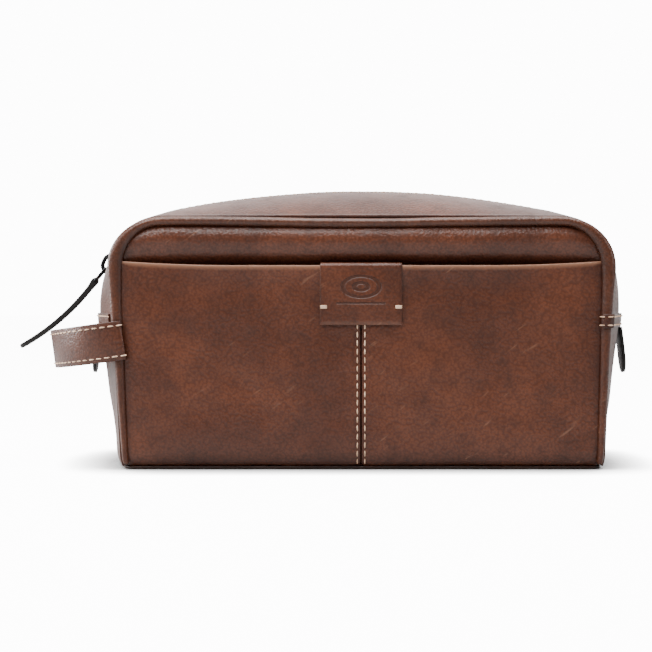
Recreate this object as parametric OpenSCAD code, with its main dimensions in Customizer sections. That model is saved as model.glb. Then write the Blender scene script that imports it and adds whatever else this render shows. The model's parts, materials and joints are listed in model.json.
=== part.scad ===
// Shaving kit bag: a boxy leather wash bag with a domed zip gusset, a front
// slip pocket, a carry loop on its left end and a leather zip pull.
// X runs along the width, Y from the front (-Y) to the back, Z up.
// The origin is the centre of the base, on the surface the bag stands on.

/* [Body] */
// Half width of the side seams at the top corners
seam_half_w = 133.1; // [120:0.1:140]
// Height of the top seams, where the gusset meets the front and back
seam_top = 135.9; // [125:0.1:145]
// Radius of the panels' top corners
corner_r = 27.5; // [20:0.5:32]
// Lean of the side seams from upright, in degrees
seam_lean = 2.4; // [0:0.1:4]
// Half depth of the bag at the edges of its gusset
gusset_half = 56; // [50:0.5:60]
// Thickness of the outer leather
leather = 1.6; // [1.2:0.1:2]
// Radius of the rolled ridge round the front and the back
welt_r = 3.2; // [2.5:0.1:3.5]

/* [Gusset] */
// Distance of the zip's corner arcs from the middle of the bag
zip_corner_x = 86.5; // [80:0.5:92]
// Height of the centres of the zip's corner arcs
zip_corner_z = 84; // [80:0.5:88]
// Radius of the gusset along the zip's corners
zip_r = 59; // [55:0.5:62]
// Angle at which a zip corner runs into the top dome, in degrees
zip_corner_end = 79; // [76:0.5:82]
// Lean of the ends below the zip, in degrees
end_lean = 7.2; // [4:0.1:8]
// Height of the seam between a zip gusset and the end below it
end_seam_z = 79.5; // [78:0.5:82]
// Half width of the strip between the gusset's two zip edges
zip_edge = 6; // [5.5:0.1:7]
// Half length of the hinged run of the mouth along the top
mouth_half = 85; // [70:1:90]

/* [Pocket] */
// Height of the front pocket's top edge
pocket_top = 110.8; // [90:0.1:115]
// Depth of the slot between the pocket and the front panel
pocket_gap = 5.4; // [5.2:0.1:6]
// Half width of the label that folds over the pocket's edge
label_half_w = 21.9; // [15:0.1:30]
// Height of the label on the pocket's face
label_h = 32.2; // [25:0.1:36]
// Length from one stitch to the next
stitch_pitch = 4.5; // [4:0.1:6]

/* [Zip] */
// Half width of the closed zip chain
chain_half = 2.9; // [2.5:0.1:3]
// Half width of each zip tape's outer edge from the chain's middle
tape_half = 13; // [10:0.5:14]
// Length of the slider
slider_len = 15; // [12:0.5:16]
// Half width of the slider
slider_half = 4.4; // [4.2:0.1:4.8]
// Angle of the slider above the corner arc's centre, in degrees
slider_at = 27; // [24:1:30]
// Radius of the wire of the link
wire_r = 0.7; // [0.6:0.05:0.8]
// Length of the link between the middles of its bars
link_len = 9.4; // [8:0.1:11]
// Length of the leather pull along its curve
pull_len = 57; // [50:1:60]
// Thickness of the leather pull
pull_t = 2.7; // [2:0.1:3]

/* [Carry loop] */
// Width of the strap
strap_w = 21; // [16:0.5:24]
// Thickness of each of the strap's two layers
strap_layer = 1.5; // [1.2:0.1:1.8]
// Height at which the loop leaves the side seams
loop_root_z = 69; // [64:0.5:69]
// Droop of the loop, in degrees
loop_droop = 7.8; // [4:0.1:12]
// Half width of the loop's oval plan, outside the ridges it passes over
loop_half = 64; // [64:0.1:66]
// Reach of the loop's oval from its roots
loop_reach = 43; // [38:0.5:43]

/* [End trim] */
// Height of the lower edge of the bands across the zip's ends
band_low = 75.7; // [74:0.1:77]
// Width of the bands
band_w = 7.5; // [6:0.1:8]
// Width of the tabs that hang below the bands
tab_w = 19; // [14:0.5:22]
// Length of the tabs
tab_len = 25; // [20:0.5:28]
// Thickness of the tabs
tab_t = 1.8; // [1.2:0.1:2]
// Outward lean of the tabs, in degrees
tab_lean = 8; // [4:0.5:12]

/* [Hidden] */
$fn = 96;

// Colours of the real materials
tan_leather = "#764a37";
dark_leather = "#5b3728";
black_leather = "#1d1a19";
black_metal = "#26262a";
thread = "#e0c2a4";
lining_cloth = "#3a3436";
foam = "#8f8a84";
board = "#a08766";

clear = 0.3;               // gap between pieces of different bodies
base_t = 1.8;              // thickness of the base leather
board_t = 2;               // thickness of the stiffener
cloth = 0.8;               // thickness of the lining
lining_half = 46;          // half depth of the space between the linings' walls
pad_t = 2;                 // thickness of the padding
sheet_y = 55.6;            // where the gusset's sheets end, beside the ridges
welt_y = 59;               // middle of a ridge, from the middle of the bag
pocket_face = 60.2;        // front of the pocket, from the middle of the bag
panel_face = pocket_face - leather - pocket_gap;   // front of the front panel
back_face = 58.4;          // back of the back panel
inside_welt = 5.8;         // inset of a panel that lies within a ridge
mouth_gap = 0.15;          // half of the gap between the two mouth sides
chain_low = 3.2;           // depth of the tapes' outer faces below the leather
chain_high = 0.6;          // depth of the teeth's outer faces below the leather
slot_half = 0.8;           // half of the gap between the teeth at the corners
zip_end = -0.5;            // angle of the zip's ends on the corner arcs

// Corner centres and radii run evenly from the seam (s = 0) to the zip (s = 1)
function mix(a, b, t) = a + (b - a) * t;
function swell(y) = max(0, 1 - pow(y / gusset_half, 2));
function arc_x(s) = mix(seam_half_w - corner_r, zip_corner_x, s);
function arc_z(s) = mix(seam_top - corner_r, zip_corner_z, s);
function arc_r(s, d) = mix(corner_r, zip_r, s) - d;
function arc_start(s) = -mix(seam_lean, end_lean, s);
function arc_end(s) = mix(89.7, zip_corner_end, s);

// Points of the left outline of a section, inset by d
function arc_point(s, a, d) =
    [-arc_x(s) - arc_r(s, d) * cos(a), arc_z(s) + arc_r(s, d) * sin(a)];
function side_point(s, z, d) =
    let (start = arc_point(s, arc_start(s), d))
    z < start[1]
        ? [start[0] + (start[1] - z) * tan(-arc_start(s)), z]
        : [-arc_x(s) - arc_r(s, d) * cos(asin((z - arc_z(s)) / arc_r(s, d))), z];
function dome_r(s, d) = arc_r(s, d) + arc_x(s) / cos(arc_end(s));
function dome_z(s) = arc_z(s) - arc_x(s) * tan(arc_end(s));
function dome_point(s, x, d) = [x, dome_z(s) + sqrt(pow(dome_r(s, d), 2) - x * x)];

// The outline of a zip corner, from the end seam up to the hinged mouth
corner_steps = 9;
function first_angle(s, d) =
    max(arc_start(s), asin(max(-1, (end_seam_z - arc_z(s)) / arc_r(s, d))) + 3);
function corner_row(s, d) =
    let (a = first_angle(s, d), b = arc_end(s), last = arc_point(s, b, d))
    concat(
        [side_point(s, end_seam_z, d)],
        [for (i = [0:corner_steps]) arc_point(s, mix(a, b, i / corner_steps), d)],
        [dome_point(s, mix(last[0], -mouth_half, 0.5), d), dome_point(s, -mouth_half, d)]
    );
function end_row(s, low, high, d) =
    [for (z = [low, mix(low, high, 0.9), high]) side_point(s, z, d)];

mouth_steps = 14;
function mouth_row(s, d) =
    let (x1 = mouth_half - clear)
    [for (i = [0:mouth_steps]) dome_point(s, mix(-x1, x1, i / mouth_steps), d)];

// Grid of points: one row along the outline for each depth y
function turn(rows) = [for (k = [0:len(rows[0]) - 1]) [for (r = rows) r[k]]];
function stations(y0, y1, n) = [for (i = [0:n]) mix(y0, y1, i / n)];
function lift(row, y) = [for (p = row) [p[0], y, p[1]]];
function corner_grid(y0, y1, n, d) =
    turn([for (y = stations(y0, y1, n)) lift(corner_row(swell(y), d), y)]);
function end_grid(y0, y1, n, low, high, d) =
    turn([for (y = stations(y0, y1, n)) lift(end_row(swell(y), low, high, d), y)]);
function mouth_grid(y0, y1, n, d) =
    turn([for (y = stations(y0, y1, n)) lift(mouth_row(swell(y), d), y)]);

// A curved sheet between two grids of points of the same size
module sheet(top, under) {
    rows = len(top) - 1;
    cols = len(top[0]) - 1;
    n = (rows + 1) * (cols + 1);
    function at(r, c, side) = side * n + r * (cols + 1) + c;
    polyhedron(
        points = concat([for (r = top) for (p = r) p], [for (r = under) for (p = r) p]),
        faces = concat(
            [for (r = [0:rows - 1]) for (c = [0:cols - 1]) each [
                [at(r, c, 0), at(r, c + 1, 0), at(r + 1, c + 1, 0)],
                [at(r, c, 0), at(r + 1, c + 1, 0), at(r + 1, c, 0)],
                [at(r, c, 1), at(r + 1, c + 1, 1), at(r, c + 1, 1)],
                [at(r, c, 1), at(r + 1, c, 1), at(r + 1, c + 1, 1)]]],
            [for (c = [0:cols - 1]) each [
                [at(0, c, 0), at(0, c, 1), at(0, c + 1, 1)],
                [at(0, c, 0), at(0, c + 1, 1), at(0, c + 1, 0)],
                [at(rows, c, 0), at(rows, c + 1, 1), at(rows, c, 1)],
                [at(rows, c, 0), at(rows, c + 1, 0), at(rows, c + 1, 1)]]],
            [for (r = [0:rows - 1]) each [
                [at(r, 0, 0), at(r + 1, 0, 0), at(r + 1, 0, 1)],
                [at(r, 0, 0), at(r + 1, 0, 1), at(r, 0, 1)],
                [at(r, cols, 0), at(r + 1, cols, 1), at(r + 1, cols, 0)],
                [at(r, cols, 0), at(r, cols, 1), at(r + 1, cols, 1)]]]
        )
    );
}

// A strip that follows an arc in the XZ plane; angles run from +X towards +Z
module arc_strip(x, z, r0, r1, y0, y1, a0, a1) {
    translate([x, 0, z]) rotate([90, 0, 0]) rotate([0, 0, a0])
        rotate_extrude(angle = a1 - a0, $fn = 180)
            translate([r0, -y1]) square([r1 - r0, y1 - y0]);
}
// The same strip on the left zip corner, with angles up from the left
module corner_strip(d0, d1, y0, y1, a0, a1) {
    arc_strip(-zip_corner_x, zip_corner_z, zip_r - d1, zip_r - d0, y0, y1, 180 - a1, 180 - a0);
}
// The same strip on the top dome, between two places along X
module dome_strip(d0, d1, y0, y1, x0, x1) {
    r = dome_r(1, 0);
    arc_strip(0, dome_z(1), r - d1, r - d0, y0, y1, acos(x1 / r), acos(x0 / r));
}
module both_sides() {
    children();
    mirror([0, 1, 0]) children();
}
module on_right() {
    mirror([1, 0, 0]) children();
}

// Flat panels in the front's outline, inset by d, from y0 to y1
outline_steps = 8;
function panel_left(d, low) =
    concat([side_point(0, low, d)],
        [for (i = [0:outline_steps]) arc_point(0, mix(arc_start(0), 90, i / outline_steps), d)]);
function mirrored(pts) = [for (i = [len(pts) - 1:-1:0]) [-pts[i][0], pts[i][1]]];
module wall(d, low, y0, y1) {
    left = panel_left(d, low);
    translate([0, y1, 0]) rotate([90, 0, 0]) linear_extrude(y1 - y0)
        polygon(concat(left, mirrored(left)));
}
module front_panel() {
    color(tan_leather) wall(leather + 0.2, base_t + 0.2, -panel_face, -panel_face + leather);
}
module back_panel() {
    color(tan_leather) wall(inside_welt, base_t + 0.2, back_face - leather, back_face);
}
module padding_front() {
    y = -panel_face + leather + 0.1;
    color(foam) wall(leather + 1.2, base_t + board_t + 1, y, y + pad_t);
}
module padding_back() {
    y = back_face - leather - 0.1;
    color(foam) wall(inside_welt + 0.5, base_t + board_t + 1, y - pad_t, y);
}
front_cloth = -panel_face + leather + pad_t + 0.2;
back_cloth = back_face - leather - pad_t - 0.2;
module lining_front() {
    color(lining_cloth) wall(leather + 1.2, base_t + board_t + 1, front_cloth, front_cloth + cloth);
}
module lining_back() {
    color(lining_cloth)
        wall(inside_welt + 0.5, base_t + board_t + 1, back_cloth - cloth, back_cloth);
}

// Pocket: two halves that meet at the middle seam
module pocket_left() {
    a = side_point(0, base_t + 0.2, inside_welt);
    b = side_point(0, pocket_top, inside_welt);
    color(tan_leather) translate([0, -pocket_face + leather, 0]) rotate([90, 0, 0])
        linear_extrude(leather) polygon([a, b, [-0.1, b[1]], [-0.1, a[1]]]);
}
module pocket_right() { on_right() pocket_left(); }

// Label: a patch folded over the pocket's top edge, with a bar tack at each side
label_t = 1.2;
fold_t = 1;
fold_h = 14;
module label() {
    y = -pocket_face;
    color(tan_leather) translate([-label_half_w, 0, 0]) rotate([90, 0, 90])
        linear_extrude(2 * label_half_w) polygon([
            [y - 0.05, pocket_top + 0.1 - label_h], [y - label_t, pocket_top + 0.1 - label_h],
            [y - label_t, pocket_top + 1], [y + leather + fold_t, pocket_top + 1],
            [y + leather + fold_t, pocket_top - fold_h], [y + leather + 0.05, pocket_top - fold_h],
            [y + leather + 0.05, pocket_top + 0.05], [y - 0.05, pocket_top + 0.05]]);
}
tack_w = 3.4;
tack_h = 1.6;
tack_drop = 24.6;          // height of the tacks below the pocket's top edge
module label_tacks() {
    for (side = [-1, 1]) color(thread)
        translate([side * (label_half_w - tack_w / 2 - 0.3) - tack_w / 2,
                   -pocket_face - label_t - 0.6, pocket_top - tack_drop])
            cube([tack_w, 0.55, tack_h]);
}
stitch_len = 3.2;
stitch_w = 0.7;
seam_row = 2;
module pocket_stitches() {
    count = floor((pocket_top - label_h - 8) / stitch_pitch);
    for (side = [-1, 1]) for (i = [0:count]) color(thread)
        translate([side * seam_row - stitch_w / 2, -pocket_face - 0.5, 5 + i * stitch_pitch])
            cube([stitch_w, 0.45, stitch_len]);
}

// Rolled ridges: a round roll up each side, round the corners and along the top
welt_low = 3.2;
welt_steps = 10;
welt_sides = 12;
function welt_left() =
    let (d = 2.5)
    concat([side_point(0, welt_low, d)],
        [for (i = [0:welt_steps]) arc_point(0, mix(-seam_lean, 90, i / welt_steps), d)]);
function heading(pts, i) =
    let (v = pts[min(i + 1, len(pts) - 1)] - pts[max(i - 1, 0)]) v / norm(v);
module roll(pts, r) {
    last = len(pts) - 1;
    n = welt_sides;
    points = [for (i = [0:last]) let (t = heading(pts, i)) for (k = [0:n - 1])
        let (a = 360 * k / n, out = r * cos(a))
        [pts[i][0] - t[1] * out, r * sin(a), pts[i][1] + t[0] * out]];
    polyhedron(points, concat(
        [[for (k = [0:n - 1]) k]],
        [for (i = [0:last - 1]) for (k = [0:n - 1]) let (m = (k + 1) % n) each [
            [i * n + k, (i + 1) * n + k, (i + 1) * n + m],
            [i * n + k, (i + 1) * n + m, i * n + m]]],
        [[for (k = [n - 1:-1:0]) last * n + k]]));
}
module welt_roll() {
    left = welt_left();
    roll(concat(left, mirrored(left)), welt_r);
}
module front_welt() { color(tan_leather) translate([0, -welt_y, 0]) welt_roll(); }
module back_welt() { color(tan_leather) translate([0, welt_y, 0]) welt_roll(); }

// Base: its plan swells at the ends with the gusset
base_half = 60;
function plan_side(d, y1, n) =
    [for (y = stations(-y1, y1, n)) [side_point(swell(y), base_t, d)[0], y]];
module plan_sheet(d, y1, z0, z1) {
    left = plan_side(d, y1, 16);
    translate([0, 0, z0]) linear_extrude(z1 - z0)
        polygon(concat(left, [for (i = [len(left) - 1:-1:0]) [-left[i][0], left[i][1]]]));
}
module base_panel() { color(dark_leather) plan_sheet(0, base_half, 0, base_t); }
module base_board() {
    color(board) plan_sheet(leather + 1.4, lining_half + 1, base_t + 0.1, base_t + 0.1 + board_t);
}
module lining_base() {
    z = base_t + board_t + 0.2;
    color(lining_cloth) plan_sheet(leather + 3, lining_half + 0.5, z, z + cloth);
}

// Ends below the zip, and the four corner pieces of the zip gusset
end_low = base_t + 0.1;
module end_piece(d0, d1, y1, low, high) {
    sheet(end_grid(-y1, y1, 14, low, high, d0), end_grid(-y1, y1, 14, low, high, d1));
}
module end_left() {
    color(tan_leather) end_piece(0, leather, sheet_y, end_low, end_seam_z - 0.05);
}
module end_right() { on_right() end_left(); }
module corner_sheet(d0, d1, y0, y1) {
    sheet(corner_grid(y0, y1, 7, d0), corner_grid(y0, y1, 7, d1));
}
module corner_front_left() { color(tan_leather) corner_sheet(0, leather, -sheet_y, -zip_edge); }
module corner_back_left() { color(tan_leather) corner_sheet(0, leather, zip_edge, sheet_y); }
module corner_front_right() { on_right() corner_front_left(); }
module corner_back_right() { on_right() corner_back_left(); }

// Mouth: the two sides of the gusset along the top, each hinged at its ridge
hinge_y = 54.9;
hinge_z = dome_point(swell(hinge_y), mouth_half, leather / 2)[1];
module mouth_side() {
    x1 = mouth_half - clear;
    sheet(mouth_grid(-hinge_y, -zip_edge, 8, 0), mouth_grid(-hinge_y, -zip_edge, 8, leather));
    translate([-x1, -hinge_y, hinge_z]) rotate([0, 90, 0])
        cylinder(r = leather / 2, h = 2 * x1);
}
module mouth_front() { color(tan_leather) mouth_side(); }
module mouth_back() { color(tan_leather) mirror([0, 1, 0]) mouth_side(); }

// Linings of the two ends: one sheet below the zip and one on each side of it
module lining_left() {
    d0 = leather + 0.2;
    d1 = d0 + cloth;
    color(lining_cloth) {
        end_piece(d0, d1, lining_half, base_t + board_t + 1.2, end_seam_z - 0.1);
        both_sides() corner_sheet(d0, d1, tape_half + 1.5, lining_half);
    }
}
module lining_right() { on_right() lining_left(); }

// Zip: tapes, teeth and stops
tape_t = 0.8;
strip_gap = 0.9;           // gap that keeps a corner's strip off the dome's strip
module corner_chain(d0, d1, y0, y1) {
    corner_strip(d0, d1, y0, y1, zip_end, zip_corner_end);
    corner_x = -zip_corner_x - zip_r * cos(zip_corner_end);
    dome_strip(d0, d1, y0, y1, corner_x + strip_gap, -mouth_half);
}
module zip_tape_left() {
    color(black_leather) both_sides()
        corner_chain(chain_low, chain_low + tape_t, slot_half + 0.1, tape_half);
}
module zip_tape_right() { on_right() zip_tape_left(); }
module zip_teeth_left() {
    color(black_metal) both_sides() corner_chain(chain_high, chain_low, slot_half, chain_half);
}
module zip_teeth_right() { on_right() zip_teeth_left(); }
module mouth_chain(d0, d1, y1) {
    x1 = mouth_half - clear;
    dome_strip(d0, d1, -y1, -mouth_gap, -x1, x1);
}
module zip_tape_front() {
    color(black_leather) mouth_chain(chain_low, chain_low + tape_t, tape_half);
}
module zip_tape_back() { mirror([0, 1, 0]) zip_tape_front(); }
module zip_teeth_front() { color(black_metal) mouth_chain(chain_high, chain_low, chain_half); }
module zip_teeth_back() { mirror([0, 1, 0]) zip_teeth_front(); }
module zip_stops() {
    color(black_metal) {
        corner_strip(chain_high, chain_low, -chain_half, chain_half, zip_end - 2, zip_end - 0.05);
        on_right() both_sides()
            corner_strip(chain_high, chain_low, slot_half, chain_half, zip_end - 2, zip_end - 0.05);
    }
}

// Bands across the zip's ends
band_t = 1.4;
band_half = 47;
module end_band_left() {
    high = band_low + band_w;
    color(tan_leather) sheet(end_grid(-band_half, band_half, 12, band_low, high, -band_t),
                             end_grid(-band_half, band_half, 12, band_low, high, -0.05));
}
module end_band_right() { on_right() end_band_left(); }
band_row = 1.5;
module band_stitches() {
    count = 9;
    for (side = [0, 1]) mirror([side, 0, 0])
        for (i = [-count:count]) for (z = [band_low + band_row, band_low + band_w - band_row]) {
            y = i * stitch_pitch;
            p = side_point(swell(abs(y) + stitch_len / 2), z, -band_t);
            q = side_point(swell(max(0, abs(y) - stitch_len / 2)), z, -band_t);
            out = max(-p[0], -q[0]) + 0.1;
            color(thread) translate([-out - 0.5, y - stitch_len / 2, z - stitch_w / 2])
                cube([0.5, stitch_len, stitch_w]);
        }
}

// Tabs that hang below the bands, each turning about its rounded top edge
tab_hinge_z = 74.4;
tab_hinge_x = 146.6;
module end_tab_left() {
    color(black_leather) translate([-tab_hinge_x, 0, tab_hinge_z]) rotate([0, tab_lean, 0]) {
        rotate([90, 0, 0]) cylinder(r = tab_t / 2, h = tab_w, center = true);
        translate([-tab_t / 2, -tab_w / 2, -tab_len + tab_w / 2])
            cube([tab_t, tab_w, tab_len - tab_w / 2]);
        translate([0, 0, -tab_len + tab_w / 2]) rotate([0, 90, 0])
            cylinder(d = tab_w, h = tab_t, center = true);
    }
}
module end_tab_right() { on_right() end_tab_left(); }

// Slider: two plates joined by a neck, with side flanges and a bridge on top
slider_span = slider_len / zip_r * 180 / PI;
bridge_from = slider_at - 6.5;
bridge_to = slider_at + 5;
link_at = slider_at - 3.8;
link_r = 61.6;
module slider() {
    a0 = slider_at - slider_span / 2;
    a1 = slider_at + slider_span / 2;
    low = chain_low + tape_t + clear;
    color(black_metal) {
        corner_strip(-1.2, chain_high - clear - 0.1, -slider_half, slider_half, a0, a1);
        corner_strip(low, low + 1, -slider_half + 0.4, slider_half - 0.4, a0, a1);
        corner_strip(-0.5, low + 0.5, -slot_half + clear, slot_half - clear, a0 + 1, a0 + 5);
        both_sides() corner_strip(0, chain_low - clear, chain_half + clear, slider_half, a0, a1);
        corner_strip(-5.3, -3.9, -1.1, 1.1, bridge_from, bridge_to);
        corner_strip(-5.3, -1, -1.1, 1.1, bridge_from, bridge_from + 1.3);
        corner_strip(-5.3, -1, -1.1, 1.1, bridge_to - 1.3, bridge_to);
    }
}

// Wire link between the slider's bridge and the pull
link_half = 4.4;
link_turn = 229.5;
link_top = [-zip_corner_x - link_r * cos(link_at), zip_corner_z + link_r * sin(link_at)];
link_foot = link_top + link_len * [cos(link_turn), sin(link_turn)];
module cross_bar(p) {
    translate([p[0], 0, p[1]]) rotate([90, 0, 0])
        cylinder(r = wire_r, h = 2 * (link_half + wire_r), center = true);
}
module wire_link() {
    color(black_metal) {
        cross_bar(link_top);
        cross_bar(link_foot);
        for (side = [-1, 1]) translate([link_top[0], side * link_half, link_top[1]])
            rotate([0, 90 - link_turn, 0]) cylinder(r = wire_r - 0.1, h = link_len);
    }
}

// Leather pull: an eye round the link's lower bar and a strip that curves over the loop
pull_curve = 128;
pull_start = -36;
pull_half = 3.4;
eye_r = 2.15;
module pull_strap() {
    turn_deg = pull_len / pull_curve * 180 / PI;
    cx = link_foot[0] - pull_curve * cos(pull_start);
    cz = link_foot[1] - pull_curve * sin(pull_start);
    color(black_leather) difference() {
        union() {
            translate([link_foot[0], 0, link_foot[1]]) rotate([90, 0, 0])
                cylinder(r = eye_r, h = 2 * pull_half, center = true);
            arc_strip(cx, cz, pull_curve - pull_t / 2, pull_curve + pull_t / 2,
                      -pull_half, pull_half, pull_start - turn_deg, pull_start);
        }
        translate([link_foot[0], 0, link_foot[1]]) rotate([90, 0, 0])
            cylinder(r = wire_r + 0.06, h = 3 * pull_half, center = true);
    }
}

// Carry loop: two layers round one oval plan, with rounded ends where it turns
// and short roots that cross the ridges and end at their inner seams
loop_root_x = -128;
turn_x = -18.2;
ply_gap = 0.02;            // half of the gap between the two layers
module loop_frame() {
    translate([loop_root_x, 0, loop_root_z]) rotate([0, -loop_droop, 0]) children();
}
module loop_ring(t0, t1) {
    translate([0, 0, -strap_w / 2]) linear_extrude(strap_w) difference() {
        scale([loop_reach + t1, loop_half + t1]) circle(r = 1, $fn = 240);
        scale([loop_reach + t0, loop_half + t0]) circle(r = 1, $fn = 240);
    }
}
module turn_disc(r) {
    translate([turn_x, 0, 0]) rotate([90, 0, 0]) cylinder(r = r, h = 150, center = true);
}
module loop_layer(t0, t1) {
    color(tan_leather) loop_frame() intersection() {
        loop_ring(t0, t1);
        union() {
            turn_disc(strap_w / 2);
            translate([turn_x - 60, -75, -strap_w]) cube([60, 150, 2 * strap_w]);
        }
    }
}
module loop_outer() { loop_layer(ply_gap, strap_layer); }
module loop_inner() { loop_layer(-strap_layer, -ply_gap); }
root_start = -12;
root_end = 2.3;
module loop_roots() {
    color(tan_leather) loop_frame() difference() {
        intersection() {
            loop_ring(-strap_layer, strap_layer);
            translate([root_start, -75, -strap_w]) cube([root_end - root_start, 150, 2 * strap_w]);
        }
        turn_disc(strap_w / 2 + clear);
    }
}

// The loop's stitches stand at equal steps along the oval's outer side
loop_row = strap_w / 2 - 2.4;
oval_turn = 64;            // angle of the last stitches on the oval, in degrees
function oval(a) = [-(loop_reach + strap_layer) * cos(a), (loop_half + strap_layer) * sin(a)];
oval_runs = [for (a = 0, run = 0; a <= oval_turn; run = run + norm(oval(a + 1) - oval(a)), a = a + 1) run];
module loop_stitches() {
    count = floor(oval_runs[oval_turn] / stitch_pitch);
    color(thread) loop_frame()
        for (i = [0:count]) for (side = i == 0 ? [1] : [-1, 1]) {
            a = lookup(i * stitch_pitch, [for (k = [0:oval_turn]) [oval_runs[k], k]]);
            p = oval(a);
            q = oval(a + 1) - oval(a - 1);
            for (z = [-loop_row, loop_row])
                translate([p[0], side * p[1], z]) rotate([0, 0, side * (atan2(q[1], q[0]) + 90)])
                    translate([0.05, -stitch_len / 2, -stitch_w / 2]) cube([0.5, stitch_len, stitch_w]);
        }
}

front_panel();
back_panel();
pocket_left();
pocket_right();
label();
label_tacks();
pocket_stitches();
front_welt();
back_welt();
base_panel();
base_board();
padding_front();
padding_back();
lining_front();
lining_back();
lining_left();
lining_right();
lining_base();
end_left();
end_right();
corner_front_left();
corner_back_left();
corner_front_right();
corner_back_right();
mouth_front();
mouth_back();
zip_tape_left();
zip_tape_right();
zip_tape_front();
zip_tape_back();
zip_teeth_left();
zip_teeth_right();
zip_teeth_front();
zip_teeth_back();
zip_stops();
end_band_left();
end_band_right();
band_stitches();
end_tab_left();
end_tab_right();
slider();
wire_link();
pull_strap();
loop_outer();
loop_inner();
loop_roots();
loop_stitches();
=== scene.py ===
# %% [markdown]
# # A leather shaving kit bag
# The bag is a box of pull-up leather with a domed gusset, and the zip runs over
# that gusset from one end to the other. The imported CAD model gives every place
# and every joint. This script gives the bag its looks, so it starts by loading
# that model. Only soft sheets are drawn fuller than the CAD's plain ones.

# %% The frame
import json
import math
import bmesh
import bpy
from mathutils import Matrix, Vector, noise


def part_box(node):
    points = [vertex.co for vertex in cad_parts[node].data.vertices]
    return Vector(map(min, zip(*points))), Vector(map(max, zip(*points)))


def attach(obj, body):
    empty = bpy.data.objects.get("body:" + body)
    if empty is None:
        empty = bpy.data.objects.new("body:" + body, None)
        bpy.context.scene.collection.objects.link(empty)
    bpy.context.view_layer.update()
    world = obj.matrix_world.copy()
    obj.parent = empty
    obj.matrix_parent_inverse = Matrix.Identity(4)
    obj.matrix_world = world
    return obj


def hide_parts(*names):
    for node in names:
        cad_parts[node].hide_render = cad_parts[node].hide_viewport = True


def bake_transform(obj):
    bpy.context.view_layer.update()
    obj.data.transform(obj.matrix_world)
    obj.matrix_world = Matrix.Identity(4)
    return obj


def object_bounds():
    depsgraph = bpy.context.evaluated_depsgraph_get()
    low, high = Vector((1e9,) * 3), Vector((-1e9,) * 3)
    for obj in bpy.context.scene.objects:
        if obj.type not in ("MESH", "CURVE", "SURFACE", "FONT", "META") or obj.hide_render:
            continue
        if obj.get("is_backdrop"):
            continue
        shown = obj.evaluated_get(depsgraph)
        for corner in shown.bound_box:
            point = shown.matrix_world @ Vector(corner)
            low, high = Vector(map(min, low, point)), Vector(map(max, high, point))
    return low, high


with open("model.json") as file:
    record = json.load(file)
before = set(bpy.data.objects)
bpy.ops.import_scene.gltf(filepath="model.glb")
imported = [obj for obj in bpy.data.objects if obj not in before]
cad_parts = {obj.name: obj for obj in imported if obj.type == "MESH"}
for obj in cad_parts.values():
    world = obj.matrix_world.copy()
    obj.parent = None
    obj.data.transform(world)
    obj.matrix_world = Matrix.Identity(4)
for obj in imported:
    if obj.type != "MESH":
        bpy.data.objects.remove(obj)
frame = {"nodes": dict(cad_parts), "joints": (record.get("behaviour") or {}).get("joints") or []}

cad_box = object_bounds()
MM = 0.001


# %% [markdown]
# The sizes below are in millimetres, because that is how a bag maker thinks.
# They are read from the CAD nodes' own boxes where a box says them. The few
# that a box can't say, such as a radius, are named here once.

# %% Sizes
def box_mm(node):
    low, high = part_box(node)
    return low / MM, high / MM


roll_low, roll_high = box_mm("front_welt")
pocket_low, pocket_high = box_mm("pocket_left")
back_high = box_mm("back_panel")[1]
label_low, label_high = box_mm("label")
band_low, band_high = box_mm("end_band_left")
strap_low, strap_high = box_mm("loop_outer")

LEATHER = 1.6
CORNER_R = 27.5
SEAM_HALF_W = roll_high.x - 0.7
SEAM_TOP = roll_high.z - 0.7
SEAM_LEAN = 2.4
GUSSET_HALF = 56.0
ZIP_X, ZIP_Z, ZIP_R = 86.5, 84.0, 59.0
ZIP_END_ANGLE = 79.0
END_LEAN = 7.2
END_SEAM = 79.5
ZIP_EDGE = 6.0
STITCH_PITCH = 4.5
BASE_T = box_mm("base_panel")[1].z
print("seams", round(SEAM_HALF_W, 1), "top", round(SEAM_TOP, 1))

# %% [markdown]
# The gusset swells from the seams to the zip. Each cut through the bag at a
# depth y has the same outline of a side, a corner arc and a dome, and their
# sizes run evenly from the seam (s = 0) to the zip (s = 1). Every curved sheet
# below is lofted from this one rule, so they all meet.

# %% The outline rule
def mix(a, b, t):
    return a + (b - a) * t


def swell(y):
    return max(0.0, 1 - (y / GUSSET_HALF) ** 2)


def arc_of(s, d):
    x = mix(SEAM_HALF_W - CORNER_R, ZIP_X, s)
    z = mix(SEAM_TOP - CORNER_R, ZIP_Z, s)
    return x, z, mix(CORNER_R, ZIP_R, s) - d


def arc_point(s, angle, d):
    x, z, r = arc_of(s, d)
    a = math.radians(angle)
    return (-x - r * math.cos(a), z + r * math.sin(a))


def side_point(s, z, d):
    x, arc_z, r = arc_of(s, d)
    lean = mix(SEAM_LEAN, END_LEAN, s)
    start = arc_point(s, -lean, d)
    if z < start[1]:
        return (start[0] + (start[1] - z) * math.tan(math.radians(lean)), z)
    return (-x - math.sqrt(r * r - (z - arc_z) ** 2), z)


def dome_point(s, x, d):
    arc_x, z, r = arc_of(s, d)
    end = math.radians(mix(89.7, ZIP_END_ANGLE, s))
    middle = z - arc_x * math.tan(end)
    return (x, middle + math.sqrt((r + arc_x / math.cos(end)) ** 2 - x * x))


# %% Rows of points along the outline
def resample(points, count):
    lengths = [0.0]
    for a, b in zip(points, points[1:]):
        lengths.append(lengths[-1] + math.dist(a, b))
    made, k = [], 0
    for i in range(count):
        want = lengths[-1] * i / (count - 1)
        while k < len(points) - 2 and lengths[k + 1] < want:
            k += 1
        span = lengths[k + 1] - lengths[k]
        t = (want - lengths[k]) / span if span else 0
        made.append(tuple(mix(p, q, t) for p, q in zip(points[k], points[k + 1])))
    return made


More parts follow.
